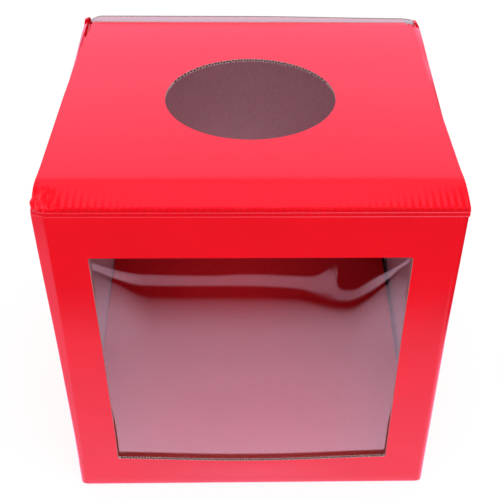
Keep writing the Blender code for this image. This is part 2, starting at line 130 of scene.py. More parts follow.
class Nodes:
    """Nodes of one new material. Each method adds one and returns the socket that carries its result."""

    def __init__(self, name: str) -> None:
        """Start a material with nothing but its coordinates.

        Args:
            name: Name of the material.
        """
        self.material = bpy.data.materials.new(name)
        self.material.use_nodes = True
        self.tree = self.material.node_tree
        self.tree.nodes.clear()
        self.place = add_node(self.tree, "TexCoord").outputs["Object"]

    def result(self, kind: str, inputs: dict, **settings) -> Socket:
        """First output of any node."""
        return add_node(self.tree, kind, inputs, **settings).outputs[0]

    def calculate(self, operation: str, first: Socket, second: Socket | float = 0.0,
                  clamp: bool = False) -> Socket:
        """Result of an arithmetic operation."""
        return self.result("Math", {0: first, 1: second}, operation=operation, use_clamp=clamp)

    def along(self, axis: Axis) -> Socket:
        """Place along an axis."""
        return add_node(self.tree, "SeparateXYZ", {"Vector": self.place}).outputs[axis.value]

    def attribute(self, name: str) -> Socket:
        """Value that the mesh carries."""
        return add_node(self.tree, "Attribute", attribute_name=name).outputs["Fac"]

    def grain(self, size: float, detail: float, place: Socket | None = None) -> Socket:
        """Noise with features of a size."""
        inputs = {"Vector": place or self.place, "Scale": 1 / size, "Detail": detail}
        return add_node(self.tree, "TexNoise", inputs).outputs["Fac"]

    def cells(self, size: float) -> Socket:
        """Distance from the middles of scattered cells."""
        return self.result("TexVoronoi", {"Vector": self.place, "Scale": 1 / size})

    def ramp(self, value: Socket, before: Span, after: Span = (0.0, 1.0), curve: str = "LINEAR") -> Socket:
        """Turn one range of a value into another, and hold it at the ends."""
        return self.result("MapRange", {"Value": value, "From Min": before[0], "From Max": before[1],
                           "To Min": after[0], "To Max": after[1]}, interpolation_type=curve)

    def mix(self, share: Socket, first: Socket | str, second: Socket | str) -> Socket:
        """Blend two colours, given as sockets or in hex."""
        a, b = (linear(end) if isinstance(end, str) else end for end in (first, second))
        return add_node(self.tree, "Mix", {"Factor": share, 6: a, 7: b}, data_type="RGBA").outputs[2]

    def dim(self, colour: Socket | str, share: Socket) -> Socket:
        """Multiply a colour."""
        start = linear(colour)[:3] if isinstance(colour, str) else colour
        return self.result("VectorMath", {0: start, "Scale": share}, operation="SCALE")

    def bump(self, height: Socket, distance: float, strength: float = 1.0,
             below: Socket | None = None) -> Socket:
        """Relief, on top of another relief if there is one."""
        inputs = {"Height": height, "Distance": distance, "Strength": strength}
        return self.result("Bump", inputs | ({"Normal": below} if below else {}))

    def flutes(self, across: Axis, depth: float) -> Socket:
        """Washboard of the liner, which sinks between the flutes."""
        turn = self.calculate("MULTIPLY", self.along(across), 2 * math.pi / FLUTE_PITCH)
        return self.bump(self.calculate("COSINE", turn), depth / 2)

    def glow(self, colour: str, strength: Socket | float) -> Socket:
        """Light of its own."""
        return self.result("Emission", {"Color": linear(colour), "Strength": strength})

    def choose(self, share: Socket | float, first: Socket, second: Socket) -> Socket:
        """Blend two shaders."""
        return self.result("MixShader", {0: share, 1: first, 2: second})

    def close(self, shader: Socket) -> Material:
        """Put the shader on the surface."""
        add_node(self.tree, "OutputMaterial", {"Surface": shader})
        return self.material

    def coat(self, colour: Socket, roughness: Socket | float, ior: float, relief: Socket | None = None,
             sheen: Socket | float = 0.5) -> Material:
        """Put a plain opaque surface on the material."""
        inputs = {"Base Color": colour, "Roughness": roughness, "IOR": ior, "Specular IOR Level": sheen}
        return self.close(self.result("BsdfPrincipled", inputs | ({"Normal": relief} if relief else {})))


@dataclass(frozen=True)
class CardPrint:
    """Gloss film laminated onto an offset print, on the white liner of E-flute board.

    The film gives a clear, slightly blurred reflection. The flutes show through it as a faint washboard,
    and where the board was folded the film is stretched and paler. It also carries painted shade,
    darker and without reflection, and a painted highlight on the score lines.
    """

    name: str
    colour: str = "F60A1F"
    worn_and_painted_light: str = "FF5A6A"            # stretched film along the folds, and the painted highlight of the score lines
    roughness: float = 0.16
    mirror: float = 0.40            # 0.5 is a plain clear coat; the matt grain of the film takes some off
    mirror_end: float = -0.5        # from this value down, in painted shade, nothing is mirrored
    crease_painted_shade: float = 0.65       # painted shade: at the lowest value the print loses this share of its colour
    flute_depth: float = 0.000012   # the liner sinks this much between the flutes, drawn as bump
    peel_size: float = 0.0009       # grain of the laminate, a little coarser than real so that it shows
    peel_depth: float = 0.0000025
    peel_gloss: Span = (0.85, 1.2)
    peel_wear: Span = (0.6, 1.0)
    shade_size: float = 0.035       # clouds in the ink
    shades: Span = (0.95, 1.03)
    across: Axis = Axis.X

    def build(self) -> Material:
        """Make the material.

        Returns:
            The material.
        """
        nodes = Nodes(self.name)
        wear_and_painted_light, peel = nodes.attribute("wear_and_painted_light"), nodes.grain(self.peel_size, detail=2.0)
        relief = nodes.bump(peel, self.peel_depth, below=nodes.flutes(self.across, self.flute_depth))
        ink = nodes.dim(self.colour, nodes.ramp(nodes.grain(self.shade_size, detail=3.0), NOISE, self.shades))
        worn_and_painted_light = nodes.calculate("MULTIPLY", wear_and_painted_light, nodes.ramp(peel, NOISE_CORE, self.peel_wear), clamp=True)
        # painted shade below zero: the print darkens, and from -0.5 down its sheen is gone
        light = nodes.ramp(wear_and_painted_light, (-1.0, 0.0), (1 - self.crease_painted_shade, 1.0))
        gloss = nodes.ramp(peel, NOISE, [self.roughness * share for share in self.peel_gloss])
        sheen = nodes.ramp(wear_and_painted_light, (self.mirror_end, 0.0), (0.0, self.mirror))
        return nodes.coat(nodes.dim(nodes.mix(worn_and_painted_light, ink, self.worn_and_painted_light), light), gloss, 1.5, relief, sheen)


@dataclass(frozen=True)
class PaperLiner:
    """Uncoated white-grey liner of recycled paper, calendered.

    It is matt, with short fibres and a few darker specks, and the flutes show through it as faint bars.
    """

    name: str
    # these colours are tinted pink: painted red light bounced from the print onto the white-grey liner
    colour: str = "E4B4C4"
    fibre: str = "D3A2B3"
    fleck: str = "B08A98"
    painted_daylight_colour: str = "E9ECFF"        # painted daylight: a bluish white where daylight reaches the liner
    roughness: float = 0.72
    flute_depth: float = 0.00003
    fibre_width: float = 0.0004     # drawn coarser than real fibres so that they show
    fibre_length: float = 0.0022
    fibre_relief: float = 0.6
    fleck_reach: Span = (0.05, 0.12)
    fleck_share: float = 0.7
    across: Axis = Axis.X

    def build(self) -> Material:
        """Make the material.

        Returns:
            The material.
        """
        nodes = Nodes(self.name)
        stretch = [1 / self.fibre_length] * 3
        stretch[self.across.value] = 1 / self.fibre_width
        stretched = nodes.result("Mapping", {"Vector": nodes.place, "Scale": stretch})
        fibres = nodes.grain(1.0, detail=4.0, place=stretched)
        pulp = nodes.mix(nodes.ramp(fibres, NOISE_CORE), self.fibre, self.colour)
        flecks = nodes.ramp(nodes.cells(self.fibre_length), self.fleck_reach, (self.fleck_share, 0.0))
        # painted daylight mixed in where the vertex value says so
        colour = nodes.mix(nodes.attribute("painted_daylight"), nodes.mix(flecks, pulp, self.fleck), self.painted_daylight_colour)
        relief = nodes.bump(fibres, self.fibre_width / 8, self.fibre_relief,
                            nodes.flutes(self.across, self.flute_depth))
        return nodes.coat(colour, self.roughness, 1.45, relief)


@dataclass(frozen=True)
class DieCutEdge:
    """Edge of the board where the die cut it: bare grey-brown flute paper between two pale liners.

    The cut fibres are rough, so it is matt, with the colour changing through the board's depth.
    """

    name: str
    colour: str = "D8B9BB"
    dark: str = "B08C8E"
    tones: Span = (0.38, 0.62)
    fibre_size: float = 0.0006
    fibre_relief: float = 0.8
    roughness: float = 0.85

    def build(self) -> Material:
        """Make the material.

        Returns:
            The material.
        """
        nodes = Nodes(self.name)
        fibres = nodes.grain(self.fibre_size, detail=4.0)
        colour = nodes.mix(nodes.ramp(fibres, self.tones), self.dark, self.colour)
        relief = nodes.bump(fibres, self.fibre_size / 6, self.fibre_relief)
        return nodes.coat(colour, self.roughness, 1.45, relief)


@dataclass(frozen=True)
class ClearSheet:
    """Clear PET window sheet, cast and calendered.

    Both faces mirror the table sharply, more towards grazing angles, and the rest goes straight through.
    """

    name: str
    tint: str = "FDFEFE"
    mirror: float = 0.095           # share that one face mirrors when seen straight on
    grazing: float = 5.0            # power by which the share grows towards grazing angles
    mirrored: str = "FFFFF0"
    roughness: float = 0.012
    smear_size: float = 0.03        # faint handling marks
    smear_spread: Span = (0.4, 0.7)
    smear_blur: float = 2.5

    def build(self) -> Material:
        """Make the material.

        Returns:
            The material.
        """
        nodes = Nodes(self.name)
        facing = add_node(nodes.tree, "LayerWeight", {"Blend": 0.5}).outputs["Facing"]
        share = nodes.ramp(nodes.calculate("POWER", facing, self.grazing), (0.0, 1.0), (self.mirror, 1.0))
        blur = nodes.ramp(nodes.grain(self.smear_size, detail=5.0), self.smear_spread,
                          (self.roughness, self.roughness * self.smear_blur))
        through = nodes.result("BsdfTransparent", {"Color": linear(self.tint)})
        gloss = nodes.result("BsdfAnisotropic", {"Color": linear(self.mirrored), "Roughness": blur})
        return nodes.close(nodes.choose(share, through, gloss))


@dataclass(frozen=True)
class GlueStrip:
    """Double-sided transfer tape: a milky acrylic adhesive, with a slightly tacky sheen."""

    name: str
    colour: str = "E6E2D6"
    bubble: str = "CFC9B8"
    bubble_size: float = 0.0025
    bubble_reach: Span = (0.0, 0.6)
    roughness: float = 0.45

    def build(self) -> Material:
        """Make the material.

        Returns:
            The material.
        """
        nodes = Nodes(self.name)
        tone = nodes.ramp(nodes.cells(self.bubble_size), self.bubble_reach)
        return nodes.coat(nodes.mix(tone, self.bubble, self.colour), self.roughness, 1.47)


@dataclass
class Finishes:
    """All finishes of the box, made once. A panel's finishes depend on which way its flutes run."""

    film: Material = field(init=False)
    glue: Material = field(init=False)
    board: dict[Axis, list[Material]] = field(init=False)
    inside: list[Material] = field(init=False)
    tab: list[Material] = field(init=False)

    def __post_init__(self) -> None:
        """Make the materials."""
        edge = DieCutEdge("die_cut_edge").build()
        # painted shade: the open cells' flute paper is dark maroon, as shade in the recesses
        cell = DieCutEdge("open_flute_painted_shade", colour="5A2024", dark="3A1014").build()
        self.board = {across: [CardPrint(f"laminated_red_print_{across.name.lower()}", across=across).build(),
                               PaperLiner(f"recycled_liner_{across.name.lower()}", across=across).build(),
                               edge, cell] for across in Axis}
        loose = CardPrint("laminated_red_print_loose", colour="CE0B19", roughness=0.3).build()
        self.inside = [loose, self.board[Axis.X][1], edge, cell]
        # painted shade: the seam tab's visible liner is dark brown in place of the shade in that corner
        tab_painted_shade = PaperLiner("glued_tab_painted_shade", colour="6E565C", fibre="5E484E", fleck="4A383E", across=Axis.Y)
        self.tab = [edge, tab_painted_shade.build(), edge]
        self.film = ClearSheet("clear_pet_sheet").build()
        self.glue = GlueStrip("transfer_tape_adhesive").build()

def clamp(value: float, low: float = 0.0, high: float = 1.0) -> float:
    """Hold a value between two ends."""
    return min(high, max(low, value))


def ease(value: float, start: float, end: float) -> float:
    """Smooth step from 0 at the start to 1 at the end, which may lie below the start."""
    t = clamp((value - start) / (end - start))
    return t * t * (3 - 2 * t)


def deselect() -> None:
    """Leave edit mode and deselect everything."""
    if bpy.context.mode != "OBJECT":
        bpy.ops.object.mode_set(mode="OBJECT")
    bpy.ops.object.select_all(action="DESELECT")


def activate(piece: Piece) -> None:
    """Make one object the only selected one.

    Args:
        piece: The object.
    """
    deselect()
    piece.select_set(True)
    bpy.context.view_layer.objects.active = piece


def stations(low: float, high: float, step: float, *exact: float) -> list[float]:
    """Places of grid lines between two ends, with some lines exactly where they are wanted.

    Args:
        low: First place.
        high: Last place.
        step: Largest distance from one line to the next.
        exact: Places that get a line of their own.

    Returns:
        Rising list of places.
    """
    marks = sorted({low, high, *(place for place in exact if low < place < high)})
    places = [low]
    for start, end in zip(marks, marks[1:]):
        count = max(1, math.ceil((end - start) / step - SAME_PLACE))
        places += [start + (end - start) * i / count for i in range(1, count + 1)]
    return places


def lay_sheet(name: str, across: Sequence[float], along: Sequence[float],
              place: Callable[[float, float], Vector]) -> Piece:
    """Lay out a flat grid and put each of its lines where it belongs.

    Args:
        name: Name of the piece.
        across: Places of the lines along the first direction.
        along: Places of the lines along the second direction.
        place: Turns a pair of places into a point.

    Returns:
        The new sheet.
    """
    deselect()
    bpy.ops.mesh.primitive_grid_add(x_subdivisions=len(across) - 1, y_subdivisions=len(along) - 1, size=1)
    sheet = bpy.context.object
    sheet.name = name
    sheet.data.name = name
    for index, vert in enumerate(sheet.data.vertices):
        vert.co = place(across[index % len(across)], along[index // len(across)])
    return sheet


def pick(sheet: Piece, test: Test) -> None:
    """Enter edit mode with the edges selected whose two ends pass a test.

    Args:
        sheet: The mesh.
        test: Says whether a vertex passes.
    """
    activate(sheet)
    mesh = sheet.data
    chosen = [test(vert.co) for vert in mesh.vertices]
    mesh.polygons.foreach_set("select", [False] * len(mesh.polygons))
    mesh.vertices.foreach_set("select", chosen)
    mesh.edges.foreach_set("select", [chosen[edge.vertices[0]] and chosen[edge.vertices[1]]
                                      for edge in mesh.edges])
    bpy.context.tool_settings.mesh_select_mode = (False, True, False)
    bpy.ops.object.mode_set(mode="EDIT")


def roll(centre: Iterable[float], axis: Iterable[float], degrees: float, steps: int = 8) -> None:
    """Sweep the selected edges round an axis, by the right-hand rule, to make a rounded fold."""
    bpy.ops.mesh.spin(steps=steps, angle=-math.radians(degrees), center=tuple(centre), axis=tuple(axis))


def fold(sheet: Piece, test: Test, centre: Iterable[float], axis: Iterable[float], degrees: float,
         steps: int = 8) -> None:
    """Sweep the edges whose ends pass a test round an axis.

    Args:
        sheet: The open mesh.
        test: Says whether a vertex passes.
        centre: A point of the axis.
        axis: Direction of the axis.
        degrees: Angle, by the right-hand rule.
        steps: Number of steps.
    """
    pick(sheet, test)
    roll(centre, axis, degrees, steps)


def extend(offset: Iterable[float], steps: int = 1) -> None:
    """Extrude the selected edges by an offset, in equal steps.

    Args:
        offset: From the edges to their last copies.
        steps: Number of steps.
    """
    part = tuple(Vector(offset) / steps)
    for _ in range(steps):
        bpy.ops.mesh.extrude_region_move(TRANSFORM_OT_translate={"value": part})


def shape(piece: Piece, move: Move) -> None:
    """Move every vertex of a piece by a rule.

    Args:
        piece: The mesh.
        move: The rule.
    """
    deselect()
    for vert in piece.data.vertices:
        vert.co = move(vert.co)
    piece.data.update()


def apply_modifier(piece: Piece, kind: str, **settings) -> None:
    """Add a modifier with its settings and apply it.

    Args:
        piece: The mesh.
        kind: Type of the modifier.
        settings: Attributes of the modifier.
    """
    activate(piece)
    modifier = piece.modifiers.new(kind.lower(), kind)
    for name, value in settings.items():
        setattr(modifier, name, value)
    bpy.ops.object.modifier_apply(modifier=modifier.name)


def face_alike(piece: Piece) -> None:
    """Make the faces of a piece consistent, outwards if it is closed.

    Args:
        piece: The mesh.
    """
    activate(piece)
    bpy.ops.object.mode_set(mode="EDIT")
    bpy.ops.mesh.select_all(action="SELECT")
    bpy.ops.mesh.normals_make_consistent(inside=False)
    bpy.ops.object.mode_set(mode="OBJECT")


def face_out(sheet: Piece, outwards: Iterable[float]) -> None:
    """Make an open sheet's faces consistent, and turn it so that most of it looks outwards.

    Args:
        sheet: The open mesh.
        outwards: Direction that it has to look in.
    """
    face_alike(sheet)
    total = sum((face.normal * face.area for face in sheet.data.polygons), Vector())
    if total.dot(Vector(outwards)) < 0:
        bpy.ops.object.mode_set(mode="EDIT")
        bpy.ops.mesh.flip_normals()
        bpy.ops.object.mode_set(mode="OBJECT")


def thicken(sheet: Piece, outwards: Iterable[float], thickness: float,
            finishes: Sequence[Material]) -> None:
    """Give an open sheet its wall, inwards, and either one finish or its outer, inner and cut finishes.

    Args:
        sheet: The open mesh.
        outwards: Direction of its outer side.
        thickness: Thickness of the wall.
        finishes: One finish, or those of the outer face, the inner face, the cut and the cells.
    """
    face_out(sheet, outwards)
    for finish in finishes:
        sheet.data.materials.append(finish)
    faces = {"use_even_offset": True, "material_offset": Face.INNER.value,
             "material_offset_rim": Face.CUT.value} if len(finishes) > 1 else {}
    apply_modifier(sheet, "SOLIDIFY", thickness=thickness, offset=-1.0, **faces)


def cut(piece: Piece, cutter: Piece, face: Face = Face.CUT) -> None:
    """Cut a piece with a closed cutter, whose faces leave a die-cut edge or cells, and remove the cutter.

    Args:
        piece: The piece that is cut.
        cutter: The closed mesh.
        face: What the cut leaves.
    """
    for finish in piece.data.materials:
        cutter.data.materials.append(finish)
    cutter.data.polygons.foreach_set("material_index", [face.value] * len(cutter.data.polygons))
    apply_modifier(piece, "BOOLEAN", operation="DIFFERENCE", solver="EXACT", object=cutter)
    bpy.data.objects.remove(cutter, do_unlink=True)


def mark_wear_and_painted_light(piece: Piece, amount: Callable[[Vector], float], layer: str = "wear_and_painted_light") -> None:
    """Write how pale the print is at each vertex, from wear and from painted highlights, or below zero how
    deep the painted shade is there.
    """
    layer = piece.data.attributes.new(layer, "FLOAT", "POINT")
    layer.data.foreach_set("value", [clamp(amount(vert.co), -1.0) for vert in piece.data.vertices])


# these bodies neither spread nor bow with the walls
STILL_BODIES = {"spine", "lid", "lid_tuck", "dust_flap_left", "dust_flap_right", "base"}
SMOOTH_ANGLE = math.radians(32)
FOLD_LIGHT = 0.3                  # height of a fold's pale line, as a share of its radius


def seat(piece: Piece, body: str | tuple[str, str], slot: str, *nodes: str,
         across: tuple[Vector, Vector] | None = None) -> None:
    """Shade a finished piece, tie it to its body or, if it lies across a crease, bake it in place, and report
    it.

    Args:
        piece: The finished mesh.
        body: Body that it rides on, or the two bodies that it lies between.
        slot: Material slot of the record; not used.
        nodes: Nodes of the frame that it stands for.
        across: Where the bend starts and ends, for a piece between two bodies.
    """
    still = STILL_BODIES & {*([body] if isinstance(body, str) else body)}
    shape(piece, LEAN.move_still if still else LEAN.move)
    activate(piece)
    bpy.ops.object.shade_smooth_by_angle(angle=SMOOTH_ANGLE)
    if across:
        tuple(across[0])
        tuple(across[1])
        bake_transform(piece)
    else:
        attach(piece, body)
    if nodes:
        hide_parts(*nodes)
    log.info("%s: %d faces, on %s", piece.name, len(piece.data.polygons), body)


def joint_place(name: str) -> Vector:
    """Place of a joint of the frame."""
    return next(Vector(joint["pos_m"]) for joint in frame["joints"] if joint["name"] == name)


@dataclass(frozen=True)
class Carton:
    """Sizes that several panels share, taken from the frame where the frame has them."""

    board: float = 0.0016
    corner_radius: float = 0.004
    fold_radius: float = 0.0025
    fold_relief: float = 0.002
    inset: float = 0.0005
    play: float = 0.0003
    liner_paper: float = 0.0002
    flute_paper: float = 0.00016
    cell_width: float = 0.0013      # the waved paper is crushed there, which narrows the cells
    cell_depth: float = 0.006       # open cells are cut this deep at a die-cut edge
    cell_sides: int = 12
    grid_step: float = 0.004        # largest face on a flat panel
    overrun: float = 0.004
    outer_x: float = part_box("right_panel")[1].x
    outer_y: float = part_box("back_panel")[1].y
    lid_level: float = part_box("lid_panel")[1].z
    back_top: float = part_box("back_panel")[1].z
    lower_crease: float = joint_place("lid_lower_crease").z
    upper_crease: float = joint_place("lid_upper_crease").z
    lid_tuck_crease: float = joint_place("lid_tuck_crease").y
    bottom_tuck_crease: float = joint_place("bottom_tuck_crease").y
    flap_root: float = joint_place("dust_crease_right").x
    flap_under: float = joint_place("dust_crease_right").z
    low_flap_under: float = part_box("bottom_dust_flap_left")[0].z

    @property
    def front_face(self) -> float:
        """Outer face of the front wall."""
        return -self.outer_y

    @property
    def inner_x(self) -> float:
        """Inner face of the right wall."""
        return self.outer_x - self.board

    @property
    def corner_start(self) -> float:
        """Where the front and back walls end and the upright folds start."""
        return self.outer_x - self.corner_radius

    @property
    def front_end(self) -> float:
        """Front end of a side wall's flat part."""
        return -self.outer_y + self.corner_radius


CARTON = Carton()


def flute_cells(name: str, reach: float, low: float, high: float, place: Matrix) -> Piece:
    """Cutter for the air between the waved paper and the two liners, at a die-cut edge.

    One cell is a cylinder that is pressed into the shape of a wave. It is repeated a pitch apart under the
    outer liner, and once more, upside down and half a pitch further, on the inner liner.

    Args:
        name: Name of the cutter.
        reach: Cells stay within this distance of the middle.
        low: Start of the cells along the flutes.
        high: End of the cells along the flutes.
        place: Turns across, depth and along into world axes.

    Returns:
        The cutter.
    """
    pitch, liner, paper = FLUTE_PITCH, CARTON.liner_paper, CARTON.flute_paper
    core = CARTON.board - 2 * liner
    half = CARTON.cell_width / 2
    hump = 4                        # power of the crest's outline: the higher, the squarer
    rows = []
    for outer in (True, False):
        count = int((reach - half) / pitch) * 2 + 1 if outer else int((reach - half + pitch / 2) / pitch) * 2
        bpy.ops.mesh.primitive_cylinder_add(vertices=CARTON.cell_sides, radius=1, depth=1)
        cell = bpy.context.object
        for vert in cell.data.vertices:
            turn = math.atan2(vert.co.y, vert.co.x)
            across = half * math.cos(turn)
            crest = (core - paper) * (1 - (across / half) ** hump)
            on_liner = vert.co.y > SAME_PLACE
            sunk = liner if on_liner else liner + max(crest, paper / 2)
            depth = sunk if outer else CARTON.board - sunk
            start = -(count - 1) / 2 * pitch
            vert.co = (start + across, depth, high if vert.co.z > 0 else low)
        apply_modifier(cell, "ARRAY", count=count, use_relative_offset=False, use_constant_offset=True,
                       constant_offset_displace=(pitch, 0, 0))
        rows.append(cell)
    activate(rows[0])
    rows[1].select_set(True)
    bpy.ops.object.join()
    cells = rows[0]
    cells.name = name
    cells.data.transform(place)
    face_alike(cells)
    return cells


def upright(front: float, outwards: float) -> Matrix:
    """Axes of a wall: across along X, depth into the wall from its outer face, along the flutes upwards."""
    return Matrix(((1, 0, 0, 0), (0, -outwards, 0, front), (0, 0, 1, 0), (0, 0, 0, 1)))


@dataclass(frozen=True)
class Droop:
    """The lid's front end: it droops in a long gentle bend before it turns down over the front wall."""

    degrees: float = 15.0
    nose_radius: float = 0.0022     # of the tight bend that ends in the front wall's plane
    gentle: float = 0.0038          # length of the gentle bend on either side of its middle
    facet_turn: float = 0.40        # slope of the strip beside the front wall's left upright fold
    facet_width: Span = (0.0032, 0.0068)     # its width at the bottom and at the top
    facet_fade: float = 1.2         # it fades out over this share of the tight bend's radius
    rear_lift: float = 0.0006
    lifted: Span = (0.02, 0.09)
    lift_depth: float = 0.01
    crumple_reach: float = 0.014    # the front left corner was knocked
    crumple_depth: float = 0.0012
    crumple_size: float = 0.0030    # distance from one wrinkle to the next
    crumple_sharp: float = 3.5      # how narrow its ridges are
    crumple_full: float = 1.6       # how soon it reaches its full depth
    crumple_place: ClassVar[Vector] = Vector((7, 3, 1))
    crumple_push: ClassVar[tuple[Vector, Vector]] = (Vector((0.15, 0.2, -0.4)), Vector((0.2, 0.5, -0.5)))
    crumple_rise: float = 0.002     # it starts this gently above the upper crease
    pale_from: float = 0.55         # the print is pale on ridges higher than this
    pale: float = 1.6
    pale_full: float = 3

    @property
    def turn(self) -> float:
        """Slope of the droop in radians."""
        return math.radians(self.degrees)

    @property
    def radius(self) -> float:
        """Radius of the gentle bend."""
        return self.gentle / math.tan(self.turn / 2)

    @property
    def nose(self) -> tuple[float, float]:
        """Where the tight bend starts, along Y and up."""
        return (CARTON.front_face + self.nose_radius * (1 - math.sin(self.turn)),
                CARTON.upper_crease + CARTON.play / 2 + self.nose_radius * math.cos(self.turn))

    @property
    def start(self) -> float:
        """Place along Y where the lid leaves its level."""
        y, z = self.nose
        return y + (CARTON.lid_level - z) / math.tan(self.turn) + self.gentle

    def drop(self, y: float) -> float:
        """How far the lid's front lies under its level.

        Args:
            y: Place along Y.

        Returns:
            The drop there.
        """
        run = max(0.0, self.start - y)
        arc = min(run, self.radius * math.sin(self.turn))
        return self.radius - math.sqrt(self.radius ** 2 - arc ** 2) + (run - arc) * math.tan(self.turn)

    def lift(self, point: Vector) -> Vector:
        """Raise the lid's rear end a little, as it sits."""
        share = ease(point.z, CARTON.lid_level - self.lift_depth, CARTON.lid_level - CARTON.board)
        return point + Vector((0, 0, self.rear_lift * share * ease(point.y, *self.lifted)))

    def facet_flat(self, point: Vector) -> Vector:
        """Push a flat piece's end back with the strip beside the left upright front fold."""
        outer = self.facet(Vector((point.x, CARTON.front_face, point.z)))
        return point + Vector((0, outer.y + CARTON.outer_y if point.y < CARTON.front_end else 0.0, 0))

    def facet(self, point: Vector) -> Vector:
        """Flatten the strip beside the left upright front fold, where the board was bent too far.

        Args:
            point: The point, as the flat or folded board has it.

        Returns:
            Its new place.
        """
        low, high = self.facet_width
        width = low + (high - low) * point.z / CARTON.lower_crease
        line = CARTON.front_face + self.facet_turn * (width - CARTON.outer_x - point.x)
        crease = CARTON.upper_crease
        below = 1 - ease(point.z, crease, crease + self.facet_fade * self.nose_radius)
        if point.y > CARTON.front_end or point.z < CARTON.fold_radius or line < point.y:
            return point
        return point + Vector((0, (line - point.y) * below, 0))

    def crumple(self, point: Vector) -> Vector:
        """Give a point near the knocked corner its place among the wrinkles.

        Args:
            point: The point, as the flat or folded board has it.

        Returns:
            Its new place.
        """
        ridge, near = self.wrinkle(point)
        always, by_ridge = self.crumple_push
        return point + self.crumple_depth * min(1.0, self.crumple_full * near) * (always + ridge * by_ridge)

    def wrinkle(self, point: Vector) -> tuple[float, float]:
        """Height of the wrinkles at a point, from -1 to 1, and how near it is to the knocked corner.

        Args:
            point: The point, as the flat or folded board has it.

        Returns:
            The height and the nearness.
        """
        corner = Vector((-CARTON.outer_x, CARTON.front_face, CARTON.upper_crease))
        near = max(0.0, 1 - (point - corner).length / self.crumple_reach)
        near *= ease(point.z, CARTON.upper_crease, CARTON.upper_crease + self.crumple_rise)
        if not near:
            return 0.0, 0.0
        height = abs(noise.noise(point / self.crumple_size + self.crumple_place))
        return 1 - self.crumple_sharp * height, near

    def stretched(self, point: Vector) -> float:
        """How pale the print is along the wrinkles."""
        ridge, near = self.wrinkle(point)
        return max(0.0, ridge - self.pale_from) * min(1.0, self.pale_full * near) * self.pale


DROOP = Droop()


@dataclass(frozen=True)
class Lean:
    """How the folded carton sits: its side walls spread a little at the top, most at the right rear."""

    rear_left: float = 0.0021
    rear_right: float = 0.0053
    front: float = 0.0007
    rear_reach: Span = (-0.085, 0.115)
    front_reach: Span = (-0.070, -0.095)
    height: Span = (0.10, 0.19)
    # how far the front folds stand out below, and up to which level, left and right
    feet: tuple[Span, Span] = ((0.0006, 0.05), (0.0008, 0.19))
    foot_front: float = 0.0005
    bow: float = 0.0024             # the front wall bows out under the window
    bow_half: float = 0.085
    bow_level: float = 0.0236
    bow_top: float = 0.085
    bow_reach: Span = (-0.080, -0.094)

    def move_still(self, point: Vector) -> Vector:
        """Give a point of a body that doesn't spread with the walls its place: it is wider only in front."""
        wider = self.front * ease(point.y, *self.front_reach)
        return point + Vector((wider * point.x / CARTON.outer_x, 0, 0))

    def spread(self, point: Vector) -> float:
        """How far a side wall's upper end stands out at the rear."""
        return ease(point.y, *self.rear_reach) * (self.rear_right if point.x > 0 else self.rear_left)

    def move(self, point: Vector) -> Vector:
        """Give a point its place in the carton as it sits.

        Args:
            point: The point, as the flat or folded board has it.

        Returns:
            Its new place.
        """
        foot, top = self.feet[point.x > 0]
        in_front = ease(point.y, *self.front_reach)
        spread = (self.spread(point) + self.front * in_front) * ease(point.z, *self.height)
        spread += foot * in_front * (1 - ease(point.z, 0.0, top))
        across = max(0.0, 1 - (point.x / self.bow_half) ** 2) ** 2
        up = ease(point.z, 0, self.bow_level)
        bow = self.bow * across * up * (1 - ease(point.z, self.bow_level, self.bow_top))
        bow += self.foot_front * (1 - up)
        return point + Vector((spread * point.x / CARTON.outer_x, -bow * ease(point.y, *self.bow_reach), 0))


LEAN = Lean()


